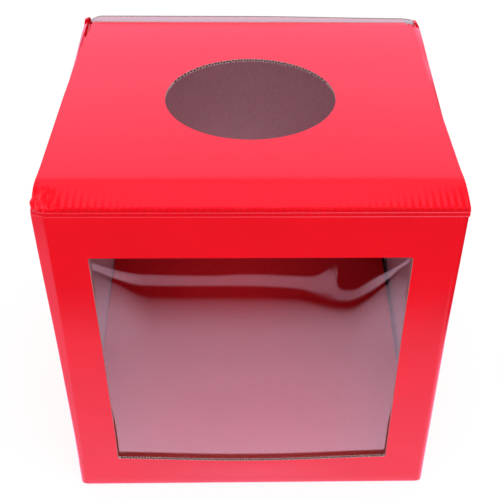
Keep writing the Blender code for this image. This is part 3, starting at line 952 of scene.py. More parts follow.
@dataclass
class Walls:
    """Four upright walls of the carton with the folds that carry the flaps."""

    finishes: Finishes
    window_frame: float = 0.0236
    window_corner: float = 0.0012
    raw_edge_setback: float = 0.0004
    tab_width: float = 0.020
    tab_end: float = 0.0045
    tab_taper: float = 0.005
    crushed: float = 0.0010
    rear_relief: float = 0.0015
    fine_step: float = 0.0005       # near its upright folds the front wall has finer faces
    fine_width: float = 0.008
    corner_steps: int = 10
    fold_wear: float = 0.0022       # half width of the pale line on the lower fold
    upright_wear: Span = (0.5, 0.0009)
    rear_rises: Span = (0.0026, 0.0017)      # the top folds rise at the rear, left and right
    rear_rise_start: float = 0.045
    corner_dips: float = 0.8        # and their rear corners rise this much less,
    dip_from: float = 0.6           # from this share of the corner's radius on
    corner_fold_in: float = 0.45    # share of the lean that the rear corners fold back in
    back_ears: Span = (-0.0022, 0.0022)      # the back wall is wider by this much above the side walls,
    back_corners: Span = (0.005, 0.010)      # and its upper edge tapers off over this length
    back_drops: Span = (0.0013, 0.0015)      # by this much, at its left and its right end
    back_sink: float = 0.0012       # its upper edge sinks this much towards the right
    back_step: float = 0.002

    @property
    def window_half(self) -> float:
        """Half of the window's width."""
        return CARTON.outer_x - self.window_frame

    @property
    def window_top(self) -> float:
        """Level of the window's upper edge."""
        return CARTON.lower_crease - self.window_frame

    def build_front(self) -> None:
        """Model the front wall with its lower fold, the window and its open flutes."""
        radius = CARTON.fold_radius
        half = CARTON.corner_start
        top = CARTON.lower_crease - CARTON.play / 2
        edge = half - self.fine_width
        columns = stations(-half, -edge, self.fine_step) + stations(-edge, edge, CARTON.grid_step)[1:]
        columns += stations(edge, half, self.fine_step)[1:]
        wall = lay_sheet("front_wall", columns, stations(radius, top, CARTON.grid_step),
                         lambda x, z: Vector((x, CARTON.front_face, z)))
        fold(wall, lambda p: p.z < radius + SAME_PLACE, (0, CARTON.front_face + radius, radius),
             (1, 0, 0), 90)
        thicken(wall, (0, -1, 0), CARTON.board, self.finishes.board[Axis.X])
        bpy.ops.mesh.primitive_cube_add(size=1)
        window = bpy.context.object
        middle = (self.window_frame + self.window_top) / 2
        window.data.transform(Matrix.Translation((0, CARTON.front_face, middle)) @ Matrix.Diagonal(
            (2 * self.window_half, 2 * CARTON.overrun, self.window_top - self.window_frame, 1)))
        pick(window, lambda p: True)
        bpy.ops.object.mode_set(mode="OBJECT")
        for edge in window.data.edges:
            ends = [window.data.vertices[i].co for i in edge.vertices]
            edge.select = abs(ends[0].y - ends[1].y) > CARTON.overrun
        bpy.ops.object.mode_set(mode="EDIT")
        bpy.ops.mesh.bevel(offset=self.window_corner, segments=5)
        bpy.ops.object.mode_set(mode="OBJECT")
        cut(wall, window)
        cells = flute_cells("window_cells", self.window_half - self.window_corner,
                            self.window_frame - CARTON.cell_depth, self.window_top + CARTON.cell_depth,
                            upright(CARTON.front_face, -1))
        cut(wall, cells, Face.CELL)
        shape(wall, DROOP.facet)
        shape(wall, DROOP.crumple)
        mark_wear_and_painted_light(wall, lambda p: max(0.0, 1.0 - abs(p.z - radius * FOLD_LIGHT) / self.fold_wear))
        seat(wall, "walls", "red_card", "front_panel", "front_fold")

    def build_side(self, name: str, side: int, node: str) -> None:
        """Model a side wall with its upright folds and the folds of its dust flaps.

        Args:
            name: Name of the piece.
            side: -1 for the left wall and 1 for the right wall, which ends in a raw edge at the seam.
            node: Node of the frame that it stands for.
        """
        seam = side > 0
        radius, corner = CARTON.fold_radius, CARTON.corner_radius
        low = CARTON.low_flap_under + radius
        high = CARTON.flap_under + CARTON.board - radius
        front, rear = CARTON.front_end, CARTON.outer_y - (self.raw_edge_setback if seam else corner)
        fold_front, relief_rear = front + CARTON.fold_relief, CARTON.outer_y - corner
        fold_rear = relief_rear - self.rear_relief
        crease = CARTON.lower_crease - CARTON.play / 2
        face = side * CARTON.outer_x
        wall = lay_sheet(name, stations(front, rear, CARTON.grid_step, fold_front, fold_rear, relief_rear),
                         stations(low, high, CARTON.grid_step, crease), lambda y, z: Vector((face, y, z)))
        middle = side * (CARTON.outer_x - corner)
        fold(wall, lambda p: p.y < front + SAME_PLACE and p.z < crease + SAME_PLACE, (middle, front, 0),
             (0, 0, 1), -side * 90, self.corner_steps)
        if not seam:
            fold(wall, lambda p: p.y > rear - SAME_PLACE, (middle, rear, 0), (0, 0, 1), side * 90,
                 self.corner_steps)
        ends = lambda p: p.y < front + SAME_PLACE or p.y > relief_rear - SAME_PLACE
        folds = lambda p: fold_front - SAME_PLACE < p.y < fold_rear + SAME_PLACE
        pick(wall, lambda p: p.z < low + SAME_PLACE and ends(p))
        extend((0, 0, -radius))
        pivot = side * (CARTON.outer_x - radius)
        fold(wall, lambda p: abs(p.z - low) < SAME_PLACE and folds(p), (pivot, 0, low), (0, 1, 0), side * 90)
        pick(wall, lambda p: abs(p.z - high) < SAME_PLACE and p.y > relief_rear - SAME_PLACE)
        extend((0, 0, radius))
        fold(wall, lambda p: abs(p.z - high) < SAME_PLACE and folds(p), (pivot, 0, high),
             (0, 1, 0), -side * 90)
        thicken(wall, (side, 0, 0), CARTON.board, self.finishes.board[Axis.Y])

        for polygon in wall.data.polygons:
            if polygon.center.z > crease and polygon.center.y > relief_rear - CARTON.cell_depth:
                polygon.material_index = Face.OUTER.value

        def settled(point: Vector) -> Vector:
            """Follow the lid's droop in front, and rise to the back wall behind.

            Args:
                point: A point of the piece.

            Returns:
                Its new place.
            """
            share = max(0.0, (point.z - crease) / (high - crease))
            in_corner, across = point.y > fold_rear + SAME_PLACE, abs(point.x)
            dip = ease(CARTON.outer_x - across, corner * self.dip_from, corner) * (point.y > relief_rear)
            behind = ease(point.y, self.rear_rise_start, relief_rear) * (1 - self.corner_dips * dip)
            rise = self.rear_rises[seam] * behind - DROOP.drop(point.y)
            turned = max(radius / 4, math.hypot(point.z - high, point.x - pivot))
            past = max(0.0, point.z - high) / (radius if in_corner else turned)
            spread = LEAN.spread(point)
            inwards = spread * across / (CARTON.outer_x + spread) * min(1.0, past)
            inwards *= self.corner_fold_in if in_corner else 1.0
            return point + Vector((-side * inwards, 0, share * rise))

        shape(wall, settled)
        shape(wall, DROOP.facet)
        if side < 0:
            shape(wall, DROOP.crumple)

        def worn_and_painted_light(point: Vector) -> float:
            """Pale wear along the upright front fold, and a painted shadow on the top fold beside the lid's
            edge.

            Args:
                point: A point of the wall.

            Returns:
                The wear, or below zero the painted shadow.
            """
            if point.z > high - SAME_PLACE:
                # painted shadow of the lid's edge on the top fold
                return -Lid.contact_shadow(point)
            pale, width = self.upright_wear
            return max(0.0, pale - abs(point.y - front) / width)

        mark_wear_and_painted_light(wall, worn_and_painted_light)
        seat(wall, "walls", "red_card", node)

    def build_back(self) -> None:
        """Model the back wall, whose upper edge shows its open flutes."""
        right = CARTON.inner_x - CARTON.play - CARTON.fold_radius
        level = CARTON.flap_under

        def place(x: float, z: float) -> Vector:
            """Widen the panel above the side walls, taper its ends and let it sink to the right.

            Args:
                x: Place across.
                z: Level.

            Returns:
                The point of the outer face.
            """
            ear, corner = self.back_ears[x > 0], self.back_corners[x > 0]
            above = ease(z, level, level + CARTON.board)
            wide = x + math.copysign(ear * above, x) * abs(x / CARTON.corner_start) ** 6
            left = min(1.0, (CARTON.corner_start + ear - abs(wide)) / corner)
            sink = self.back_drops[x > 0] * (1 - left) ** 2
            sink += self.back_sink * ease(x, 0.0, CARTON.corner_start)
            share = max(0.0, (z - level) / (CARTON.back_top - level))
            return Vector((wide, CARTON.outer_y, z - sink * share))

        wall = lay_sheet("back_wall", stations(-CARTON.corner_start, right, self.back_step),
                         stations(0, CARTON.back_top, CARTON.grid_step, level, level + CARTON.board), place)
        thicken(wall, (0, 1, 0), CARTON.board, self.finishes.board[Axis.X])
        cells = flute_cells("back_cells", right - CARTON.play, CARTON.back_top - CARTON.cell_depth,
                            CARTON.back_top + CARTON.overrun, upright(CARTON.outer_y, 1))
        cut(wall, cells, Face.CELL)
        # painted daylight on the inner liner above the side walls
        mark_wear_and_painted_light(wall, lambda p: 1.0 if p.z > level + CARTON.board - SAME_PLACE else 0.0, "painted_daylight")
        seat(wall, "walls", "red_card", "back_panel")

    def build_seam_tab(self) -> None:
        """Model the crushed tab that is glued inside the right wall."""
        radius = CARTON.fold_radius
        low = CARTON.low_flap_under + CARTON.board + self.tab_end
        high = CARTON.flap_under - self.tab_end
        face = CARTON.inner_x - CARTON.play
        centre = (face - radius, CARTON.outer_y - radius, 0)
        run = self.tab_width - radius
        tab = lay_sheet("seam_tab_glued", stations(centre[1] - run, centre[1], CARTON.grid_step),
                        stations(low, high, CARTON.grid_step), lambda y, z: Vector((face, y, z)))
        middle = (low + high) / 2
        for vert in tab.data.vertices:
            taper = self.tab_taper * (centre[1] - vert.co.y) / run
            vert.co.z -= taper * (vert.co.z - middle) / (high - middle)
        fold(tab, lambda p: p.y > centre[1] - SAME_PLACE, centre, (0, 0, 1), 90)
        # the tab's inner face takes the dark liner, painted shade
        thicken(tab, (1, 0, 0), self.crushed, self.finishes.tab)
        seat(tab, "walls", "liner_card", "seam_tab")

    def build(self) -> None:
        """Build all the walls."""
        self.build_front()
        self.build_side("left_wall", -1, "left_panel")
        self.build_side("right_wall", 1, "right_panel")
        self.build_back()
        self.build_seam_tab()


@dataclass
class TuckFlap:
    """Tuck flap with its fold, at the rear edge of the lid or of the bottom."""

    name: str
    node: str
    body: str
    crease: float
    level: float
    up: int                          # 1 turns up, -1 turns down
    finishes: Finishes
    reach: float = 0.0               # flat strip between the crease and the fold
    radius: float = CARTON.fold_radius
    length: float = 0.018
    corner: float = 0.008
    wear_and_painted_light: Span = (0.3, 0.004)

    def build(self) -> None:
        """Model the flap."""
        half = CARTON.inner_x - CARTON.inset - CARTON.board
        start = self.crease + CARTON.play / 2 + self.reach
        radius = self.radius
        run = self.length - radius
        flap = lay_sheet(self.name, stations(-half, half, CARTON.grid_step),
                         stations(radius, radius + run, CARTON.grid_step / 2, radius + run - self.corner),
                         lambda x, s: Vector((x, start + radius, self.level + self.up * s)))
        for vert in flap.data.vertices:
            past = abs(vert.co.z - self.level) - (radius + run - self.corner)
            vert.co.x *= 1 - max(0.0, past) / half
        fold(flap, lambda p: abs(p.z - self.level) < radius + SAME_PLACE,
             (0, start, self.level + self.up * radius), (1, 0, 0), -self.up * 90)
        if self.reach:
            extend((0, -self.reach, 0))
        thicken(flap, (0, 1, 0), CARTON.board, self.finishes.board[Axis.X])
        shape(flap, DROOP.lift)
        pale, width = self.wear_and_painted_light
        mark_wear_and_painted_light(flap, lambda p: max(0.0, pale - abs(abs(p.z - self.level) - radius * FOLD_LIGHT) / width))
        seat(flap, self.body, "red_card", self.node)


@dataclass
class Lid:
    """Lid with its drooping front, the hand hole, the spine of its double score and its tuck flap."""

    finishes: Finishes
    column_step: float = 0.00055    # six columns to a flute, for the washboard on the bend
    washboard: float = 0.00009      # the outer paper sinks this much between the flutes where it bends
    # painted shade on the tight bend, and more of it between the flutes
    bend_painted_shade: float = 0.22
    between_flutes_painted_shade: float = 0.14
    bend_from: float = 0.010        # the washboard starts this far down the droop
    bend_fade: float = 0.006
    bend_slant: float = 0.7
    bend_ends: Span = (0.6, 0.35)   # the painted shade on the tight bend runs from here to here, as shares of its radius
    # painted shade over the whole spine strip
    spine_painted_shade: float = 0.12
    spine_step: float = 0.0005
    tapers: ClassVar[Span] = (0.0012, 0.0007)    # it is this much narrower at the rear, left and right
    # painted shadow on a side wall's fold beside the lid: how deep, and over which width, left and right
    contact_shadows: ClassVar[tuple[Span, Span]] = ((0.75, 0.0013), (0.32, 0.0030))
    # the painted shadow starts this far out from the lid's edge
    contact_shadow_gap: ClassVar[float] = 0.0002
    hole_radius: float = 0.0455
    hole_steps: int = 128
    hole_flute_margin: float = 0.002

    @classmethod
    def edge(cls, right: bool, y: float) -> float:
        """How far out the lid's side edge lies."""
        return CARTON.outer_x - CARTON.inset - cls.tapers[right] * max(0.0, y) / CARTON.outer_y

    @classmethod
    def contact_shadow(cls, point: Vector) -> float:
        """How deep the painted shadow is beside the lid's side edge.

        Args:
            point: Point of a side wall's fold.

        Returns:
            The painted shadow's depth, from 0 to 1.
        """
        right = point.x > 0
        depth, width = cls.contact_shadows[right]
        away = abs(LEAN.move(point).x) - cls.edge(right, point.y) - cls.contact_shadow_gap
        return depth * max(0.0, 1 - max(0.0, away) / width)

    @staticmethod
    def between(point: Vector) -> float:
        """How far from the flutes a point lies: 0 on a flute, 1 halfway to the next."""
        return (1 - math.cos(2 * math.pi * point.x / FLUTE_PITCH)) / 2

    def washed(self, point: Vector) -> Vector:
        """Sink the bend's outer paper between the flutes.

        Args:
            point: The point, as the flat or folded board has it.

        Returns:
            Its new place.
        """
        bend = clamp((DROOP.start - self.bend_from - point.y) / self.bend_fade)
        sink = self.washboard * bend * self.between(point) * self.bend_slant
        return point + Vector((0, sink, -sink))

    def worn_and_painted_light(self, point: Vector) -> float:
        """Painted shade on the tight bend, deepest between the flutes, and pale wear along the knocked
        corner's wrinkles.
        """
        bend = ease(point.y, *(CARTON.front_face + end * DROOP.nose_radius for end in self.bend_ends))
        return DROOP.stretched(point) or -bend * (self.bend_painted_shade + self.between_flutes_painted_shade * self.between(point))

    def build_panel(self) -> None:
        """Model the lid panel."""
        half = CARTON.outer_x - CARTON.inset
        rear = CARTON.lid_tuck_crease - CARTON.play / 2
        top = CARTON.lid_level
        lid = lay_sheet("lid_board", stations(-half, half, self.column_step),
                        stations(DROOP.start, rear, CARTON.grid_step * 1.5, 0.0),
                        lambda x, y: Vector((x, y, top)))
        turn = math.degrees(DROOP.turn)
        fold(lid, lambda p: p.y < DROOP.start + SAME_PLACE, (0, DROOP.start, top - DROOP.radius),
             (1, 0, 0), turn)
        bent = DROOP.start - DROOP.radius * math.sin(DROOP.turn)
        extend((0, DROOP.nose[0] - bent, DROOP.nose[1] - top + DROOP.drop(bent)), steps=4)
        roll((0, CARTON.front_face + DROOP.nose_radius, CARTON.upper_crease + CARTON.play / 2), (1, 0, 0),
             90 - turn, steps=10)
        shape(lid, self.washed)
        for vert in lid.data.vertices:
            vert.co.x *= self.edge(vert.co.x > 0, vert.co.y) / half
        thicken(lid, (0, 0, 1), CARTON.board, self.finishes.board[Axis.X])
        bpy.ops.mesh.primitive_cylinder_add(vertices=self.hole_steps, radius=self.hole_radius,
                                            depth=2 * CARTON.overrun)
        hole = bpy.context.object
        hole.data.transform(Matrix.Translation((0, 0, top)))
        cut(lid, hole)
        flat = Matrix(((1, 0, 0, 0), (0, 0, 1, 0), (0, -1, 0, top), (0, 0, 0, 1)))
        reach = self.hole_radius + CARTON.cell_depth
        cells = flute_cells("hole_cells", self.hole_radius - self.hole_flute_margin, -reach, reach, flat)
        cut(lid, cells, Face.CELL)
        shape(lid, DROOP.lift)
        # painted shade on the bend, and pale wrinkles at the knocked corner
        mark_wear_and_painted_light(lid, self.worn_and_painted_light)
        shape(lid, DROOP.facet_flat)
        shape(lid, DROOP.crumple)
        seat(lid, "lid", "red_card", "lid_panel")

    def build_spine(self) -> None:
        """Model the narrow strip between the two creases."""
        half = CARTON.outer_x - CARTON.inset
        gap = CARTON.play / 2
        spine = lay_sheet("lid_spine_strip", stations(-half, half, self.column_step),
                          stations(CARTON.lower_crease + gap, CARTON.upper_crease - gap, self.spine_step),
                          lambda x, z: Vector((x, CARTON.front_face, z)))
        thicken(spine, (0, -1, 0), CARTON.board, self.finishes.board[Axis.X])
        # painted shade on the spine strip, except on the knocked corner's pale wrinkles
        mark_wear_and_painted_light(spine, lambda p: DROOP.stretched(p) or -self.spine_painted_shade)
        shape(spine, DROOP.facet_flat)
        shape(spine, DROOP.crumple)
        seat(spine, "spine", "red_card", "lid_spine")

    def build(self) -> None:
        """Build the lid's pieces."""
        self.build_panel()
        self.build_spine()
        TuckFlap("lid_tuck", "lid_tuck_flap", "lid_tuck", CARTON.lid_tuck_crease, CARTON.lid_level, -1,
                 self.finishes, reach=0.0025, radius=0.0018).build()


@dataclass
class DustFlap:
    """Dust flap on a side wall, tapered and with rounded free corners."""

    name: str
    node: str
    body: str
    side: int
    under: float
    crease: float                    # of the tuck flap behind it
    upper: bool
    finishes: Finishes
    length: float = 0.045
    taper: float = 0.007
    corner: float = 0.005
    front_clear: float = 0.0075
    rear_clear: float = 0.0015
    notch: Span = (0.010, 0.0125)    # the upper flaps are notched at their front root, where the lid droops

    def margin(self, run: float) -> float:
        """How far the flap's ends are drawn in, at a distance from its root.

        Args:
            run: Distance from the root.

        Returns:
            How far each end is drawn in.
        """
        left = self.length - run
        round_off = self.corner - math.sqrt(max(0.0, self.corner ** 2 - max(0.0, self.corner - left) ** 2))
        return self.taper * run / self.length + round_off

    def notched(self, run: float, y: float) -> float:
        """How far the flap's front end is drawn in beside its root."""
        across, along = self.notch
        return along * max(0.0, 1 - run / across) if self.upper and y < 0 else 0.0

    def build(self) -> None:
        """Model the flap."""
        front, rear = CARTON.front_face + self.front_clear, self.crease - self.rear_clear
        middle, half = (front + rear) / 2, (rear - front) / 2
        level = self.under + CARTON.board * self.upper       # the print is on the side that lies outwards
        curve = self.length - self.corner
        runs = stations(0, curve, CARTON.grid_step, self.notch[0])
        runs += stations(curve, self.length, self.corner / 6)[1:]

        def place(run: float, y: float) -> Vector:
            """Point of the printed face."""
            narrowed = 1 - (self.margin(run) + self.notched(run, y)) / half
            return Vector((self.side * (CARTON.flap_root - run), middle + (y - middle) * narrowed, level))

        def settled(point: Vector) -> Vector:
            """Clear the wall's fold at the root's upper face, and follow the lid's droop.

            Args:
                point: A point of the piece.

            Returns:
                Its new place.
            """
            at_root = abs(point.x) > CARTON.flap_root - SAME_PLACE and point.z > self.under + SAME_PLACE
            return point - Vector((self.side * CARTON.board * at_root, 0, DROOP.drop(point.y)))

        flap = lay_sheet(self.name, runs, stations(front, rear, CARTON.grid_step), place)
        thicken(flap, (0, 0, 1 if self.upper else -1), CARTON.board, self.finishes.board[Axis.Y])
        if self.upper:
            shape(flap, settled)
        seat(flap, self.body, "liner_card", self.node)


@dataclass
class Bottom:
    """Bottom panel, hinged on the front wall, with its tuck flap and the bottom dust flaps."""

    finishes: Finishes

    def build(self) -> None:
        """Build the bottom's pieces."""
        half = CARTON.outer_x - CARTON.inset
        low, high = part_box("bottom_panel")
        panel = lay_sheet("bottom_board", stations(-half, half, CARTON.grid_step),
                          stations(low.y, high.y, CARTON.grid_step), lambda x, y: Vector((x, y, 0)))
        thicken(panel, (0, 0, -1), CARTON.board, self.finishes.board[Axis.X])
        seat(panel, "bottom", "red_card", "bottom_panel")
        TuckFlap("bottom_tuck", "bottom_tuck_flap", "bottom_tuck", CARTON.bottom_tuck_crease, 0.0, 1,
                 self.finishes).build()
        for name, side in (("left", -1), ("right", 1)):
            DustFlap(f"bottom_flap_{name}", f"bottom_dust_flap_{name}", "walls", side, CARTON.low_flap_under,
                     CARTON.bottom_tuck_crease, False, self.finishes).build()


@dataclass
class WindowFilm:
    """Clear sheet glued behind the window. It is loose between its glued edges and has one long ripple."""

    finishes: Finishes
    walls: Walls
    lap: float = 0.010
    side_lap: float = 0.002         # the film is held this far beside the window
    thickness: float = 0.0003
    column: float = 0.0008
    row: float = 0.004
    row_share: float = 0.02
    foot_middle: float = 0.0085     # the ripple starts this far below its lower line
    foot_side: float = 0.0030
    foot_reach: Span = (0.045, 0.072)
    foot_slope: float = 0.060
    band_level: float = 0.150       # at this level the ripple's face leans out by its slope,
    band_slope: float = -0.045      # so that it mirrors a nearer part of the table,
    band_bend: float = -3.2         # and further up it leans out by more
    band_step: float = 0.008        # its upper part leans out by this much less
    band_upper: float = 0.3
    top_slope: float = 0.035
    lift: float = 0.0010
    settled: float = -0.0002        # above the ripple the film comes back to this depth
    settling: float = 0.003
    side_slope: float = -0.035      # beside the window's upright edges the film leans out too
    side_reach: Span = (0.050, 0.072)
    outermost: float = -0.0007
    side_foot: float = 0.110
    side_top: float = 0.156
    # lower and upper line of the ripple's face, across and up
    crest: tuple[Span, ...] = (
        (-0.086, 0.163), (-0.075, 0.158), (-0.066, 0.1535), (-0.056, 0.149), (-0.046, 0.148), (0.0, 0.1475),
        (0.024, 0.1455), (0.034, 0.1415), (0.041, 0.139), (0.049, 0.1385), (0.058, 0.144), (0.065, 0.151),
        (0.072, 0.1595), (0.086, 0.172))
    shoulder: tuple[Span, ...] = (
        (-0.086, 0.168), (-0.075, 0.163), (-0.063, 0.1587), (-0.056, 0.1568), (-0.046, 0.1559),
        (-0.02, 0.1552), (0.0, 0.1562), (0.023, 0.155), (0.030, 0.1555), (0.035, 0.1597), (0.0385, 0.163),
        (0.0403, 0.156),
        (0.042, 0.148), (0.046, 0.1455), (0.051, 0.146), (0.058, 0.1517), (0.064, 0.1566), (0.071, 0.1612),
        (0.076, 0.1655), (0.086, 0.175))

    @staticmethod
    def along(line: Sequence[Span], x: float) -> float:
        """Height of a smooth line through points at a place across the window.

        Args:
            line: Points of the line, from left to right.
            x: Place across.

        Returns:
            The line's height there.
        """
        last = len(line) - 1
        i = clamp(sum(point[0] <= x for point in line) - 1, 0, last - 1)
        (x0, z0), (x1, z1) = line[i], line[i + 1]
        before, after = line[max(0, i - 1)], line[min(last, i + 2)]
        in_slope = (z1 - before[1]) / (x1 - before[0])
        out_slope = (after[1] - z0) / (after[0] - x0)
        t = clamp((x - x0) / (x1 - x0))
        span = x1 - x0
        return ((2 * t ** 3 - 3 * t ** 2 + 1) * z0 + (t ** 3 - 2 * t ** 2 + t) * span * in_slope
                + (3 * t ** 2 - 2 * t ** 3) * z1 + (t ** 3 - t ** 2) * span * out_slope)

    def foot(self, x: float) -> float:
        """Level where the ripple starts."""
        height = self.foot_middle + (self.foot_side - self.foot_middle) * ease(abs(x), *self.foot_reach)
        return self.along(self.crest, x) - height

    def depth(self, x: float, z: float) -> float:
        """How far the film lies inwards of its glued plane.

        Args:
            x: Place across.
            z: Level.

        Returns:
            The depth, below zero outwards.
        """
        foot, crest = self.foot(x), self.along(self.crest, x)
        shoulder, top = max(crest, self.along(self.shoulder, x) + self.lift), self.walls.window_top
        split = shoulder - self.band_upper * (shoulder - crest)
        rise = clamp(z - foot, 0.0, crest - foot)
        deep = self.foot_slope * rise * rise / (2 * (crest - foot))
        reach = clamp(z, crest, shoulder)
        deep += self.band_slope * (reach - crest)
        deep += self.band_bend / 2 * ((reach - self.band_level) ** 2 - (crest - self.band_level) ** 2)
        deep += self.band_step * max(0.0, reach - split)
        deep += max(0.0, self.settled - deep) * ease(z, shoulder, shoulder + self.settling)
        deep += self.top_slope * clamp(z - shoulder, 0.0, max(top - shoulder, 0.0))
        side = ease(abs(x), *self.side_reach)
        run = clamp(self.side_top - z, 0.0, self.side_top - self.side_foot)
        deep -= self.side_slope * run * side * ease(z, self.walls.window_frame, self.side_foot)
        glued = 1 - ease(z, top, top + self.lap / 4)
        loose = clamp(1 + (self.walls.window_half - abs(x)) / self.side_lap)
        return max(self.outermost, deep) * glued * loose

    def build_film(self) -> None:
        """Model the film. Its rows of faces follow the ripple's crest and shoulder."""
        low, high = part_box("window_film")
        face = low.y
        columns = stations(low.x, high.x, self.column)
        foot_share, crest_share, shoulder_share, top_share = 0.7, 0.78, 0.88, 0.95
        shares = stations(0, 1, self.row_share, foot_share, crest_share, shoulder_share, top_share)

        def spread(x: float, share: float) -> Vector:
            """Place of a row's share of the height, so that rows follow the ripple.

            Args:
                x: Place across.
                share: Share of the height.

            Returns:
                The point of the film.
            """
            crest, shoulder = self.along(self.crest, x), self.along(self.shoulder, x) + self.lift
            top = self.walls.window_top
            marks = [(0.0, low.z), (foot_share, self.foot(x)), (crest_share, crest),
                     (shoulder_share, max(shoulder, crest + self.row / 8)),
                     (top_share, max(top, shoulder + self.row / 4)), (1.0, high.z)]
            for (a, z0), (b, z1) in zip(marks, marks[1:]):
                if share <= b + SAME_PLACE:
                    z = z0 + (z1 - z0) * (share - a) / (b - a)
                    return Vector((x, face + self.depth(x, z), z))
            return Vector((x, face, high.z))

        film = lay_sheet("window_sheet", columns, shares, spread)
        thicken(film, (0, -1, 0), self.thickness, [self.finishes.film])
        seat(film, "walls", "clear_film", "window_film")

    def build(self) -> None:
        """Build the film and its adhesive strips."""
        self.build_film()
        for side in ("top", "bottom", "left", "right"):
            low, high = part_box(f"film_tape_{side}")
            strip = lay_sheet(f"glue_{side}", stations(low.x, high.x, CARTON.grid_step),
                              stations(low.z, high.z, CARTON.grid_step), lambda x, z: Vector((x, low.y, z)))
            thicken(strip, (0, -1, 0), high.y - low.y, [self.finishes.glue])
            seat(strip, "walls", "adhesive", f"film_tape_{side}")


@dataclass
class BaseBoard:
    """Loose base board, printed side up. Its rear edge rides up the back wall."""

    finishes: Finishes
    corner: float = 0.003
    front_clear: float = 0.0028     # its front edge passes the film's bulge when the board is lifted

    def build(self) -> None:
        """Model the board flat, and tilt it as it lies in the frame."""
        low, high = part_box("base_board")
        rise, run = high.z - low.z, high.y - low.y
        length = math.sqrt(rise ** 2 + run ** 2 - CARTON.board ** 2)
        tilt = math.atan2(rise, run) - math.atan2(CARTON.board, length)
        front = high.y - length * math.cos(tilt)
        board = lay_sheet("loose_base_board", stations(low.x, high.x, CARTON.grid_step),
                          stations(self.front_clear, length, CARTON.grid_step),
                          lambda x, s: Vector((x, s, CARTON.board)))
        thicken(board, (0, 0, 1), CARTON.board, self.finishes.inside)
        middle, half = (low.x + high.x) / 2, (high.x - low.x) / 2

        def rounded(point: Vector) -> Vector:
            """Draw the outline in at the corners.

            Args:
                point: A point of the flat board.

            Returns:
                Its new place.
            """
            past = max(0.0, self.corner - min(point.y - self.front_clear, length - point.y))
            inset = self.corner - math.sqrt(max(0.0, self.corner ** 2 - past ** 2))
            return Vector((middle + (point.x - middle) * (1 - inset / half), point.y, point.z))

        shape(board, rounded)
        board.data.transform(Matrix.Translation((0, front, low.z)) @ Matrix.Rotation(tilt, 4, "X"))
        mark_wear_and_painted_light(board, lambda p: 0.0)
        seat(board, "base", "red_card_inside", "base_board")


@dataclass
class Creases:
    """Scored lines of the board: each is a strip across the crease between two panels."""

    finishes: Finishes
    proud: float = 0.00010
    proud_tuck: float = 0.00004
    reach: float = 0.0003
    step: float = 0.0008
    steps: int = 6                  # across the strip
    depth: float = 0.96             # share of the board's thickness
    stretched: Span = (0.14, 0.55)  # how pale, at the left and the right end: partly stretched film, partly a painted highlight, brighter on the right
    stretched_from: Span = (-0.05, 0.09)

    def strip(self, name: str, bodies: tuple[str, str], middle: Vector, run: Vector, outwards: Vector,
              half: float, proud: float) -> None:
        """Model one strip across a crease.

        Args:
            name: Name of the piece.
            bodies: The two bodies that it joins.
            middle: Middle of the crease, on the board's outer face.
            run: Direction from the first panel to the second.
            outwards: Direction out of the board.
            half: Half of the strip's length.
            proud: How far the bead stands out of the board.
        """
        start, end = middle - run * self.reach, middle + run * self.reach

        def place(along: float, share: float) -> Vector:
            """Point of the strip's outer face."""
            point = start + (end - start) * share + outwards * proud * math.sin(math.pi * share)
            return Vector((along, point.y, point.z))

        shares = [i / self.steps for i in range(self.steps + 1)]
        strip = lay_sheet(name, stations(-half, half, self.step), shares, place)
        thicken(strip, outwards, CARTON.board * self.depth, self.finishes.board[Axis.X])
        shape(strip, DROOP.lift)
        if middle.z > 0:
            shape(strip, DROOP.facet_flat)
            shape(strip, DROOP.crumple)
        left, right = self.stretched
        # the pale line along each score is partly stretched film and partly a painted highlight
        mark_wear_and_painted_light(strip, lambda p: left + (right - left) * ease(p.x, *self.stretched_from))
        seat(strip, bodies, "red_card", across=(start, end))

    def build(self) -> None:
        """Build the strips of all the creases."""
        wide = CARTON.outer_x - CARTON.inset
        narrow = CARTON.inner_x - CARTON.inset - CARTON.board
        up, back = Vector((0, 0, 1)), Vector((0, 1, 0))
        front, lid, bottom = CARTON.front_face, CARTON.lid_tuck_crease, CARTON.bottom_tuck_crease
        fold = front + CARTON.fold_radius + CARTON.play / 2
        for first, second, y, z, run, outwards, half, proud in (
                ("walls", "spine", front, CARTON.lower_crease, up, -back, wide, self.proud),
                ("spine", "lid", front, CARTON.upper_crease, up, -back, wide, self.proud),
                ("lid", "lid_tuck", lid, CARTON.lid_level, back, up, narrow, self.proud_tuck),
                ("walls", "bottom", fold, 0, back, -up, wide, 0.0),
                ("bottom", "bottom_tuck", bottom, 0, back, -up, narrow, 0.0)):
            name = {"spine": "lid_lower", "lid": "lid_upper"}.get(second, second) + "_score"
            self.strip(name, (first, second), Vector((0, y, z)), run, outwards, half, proud)


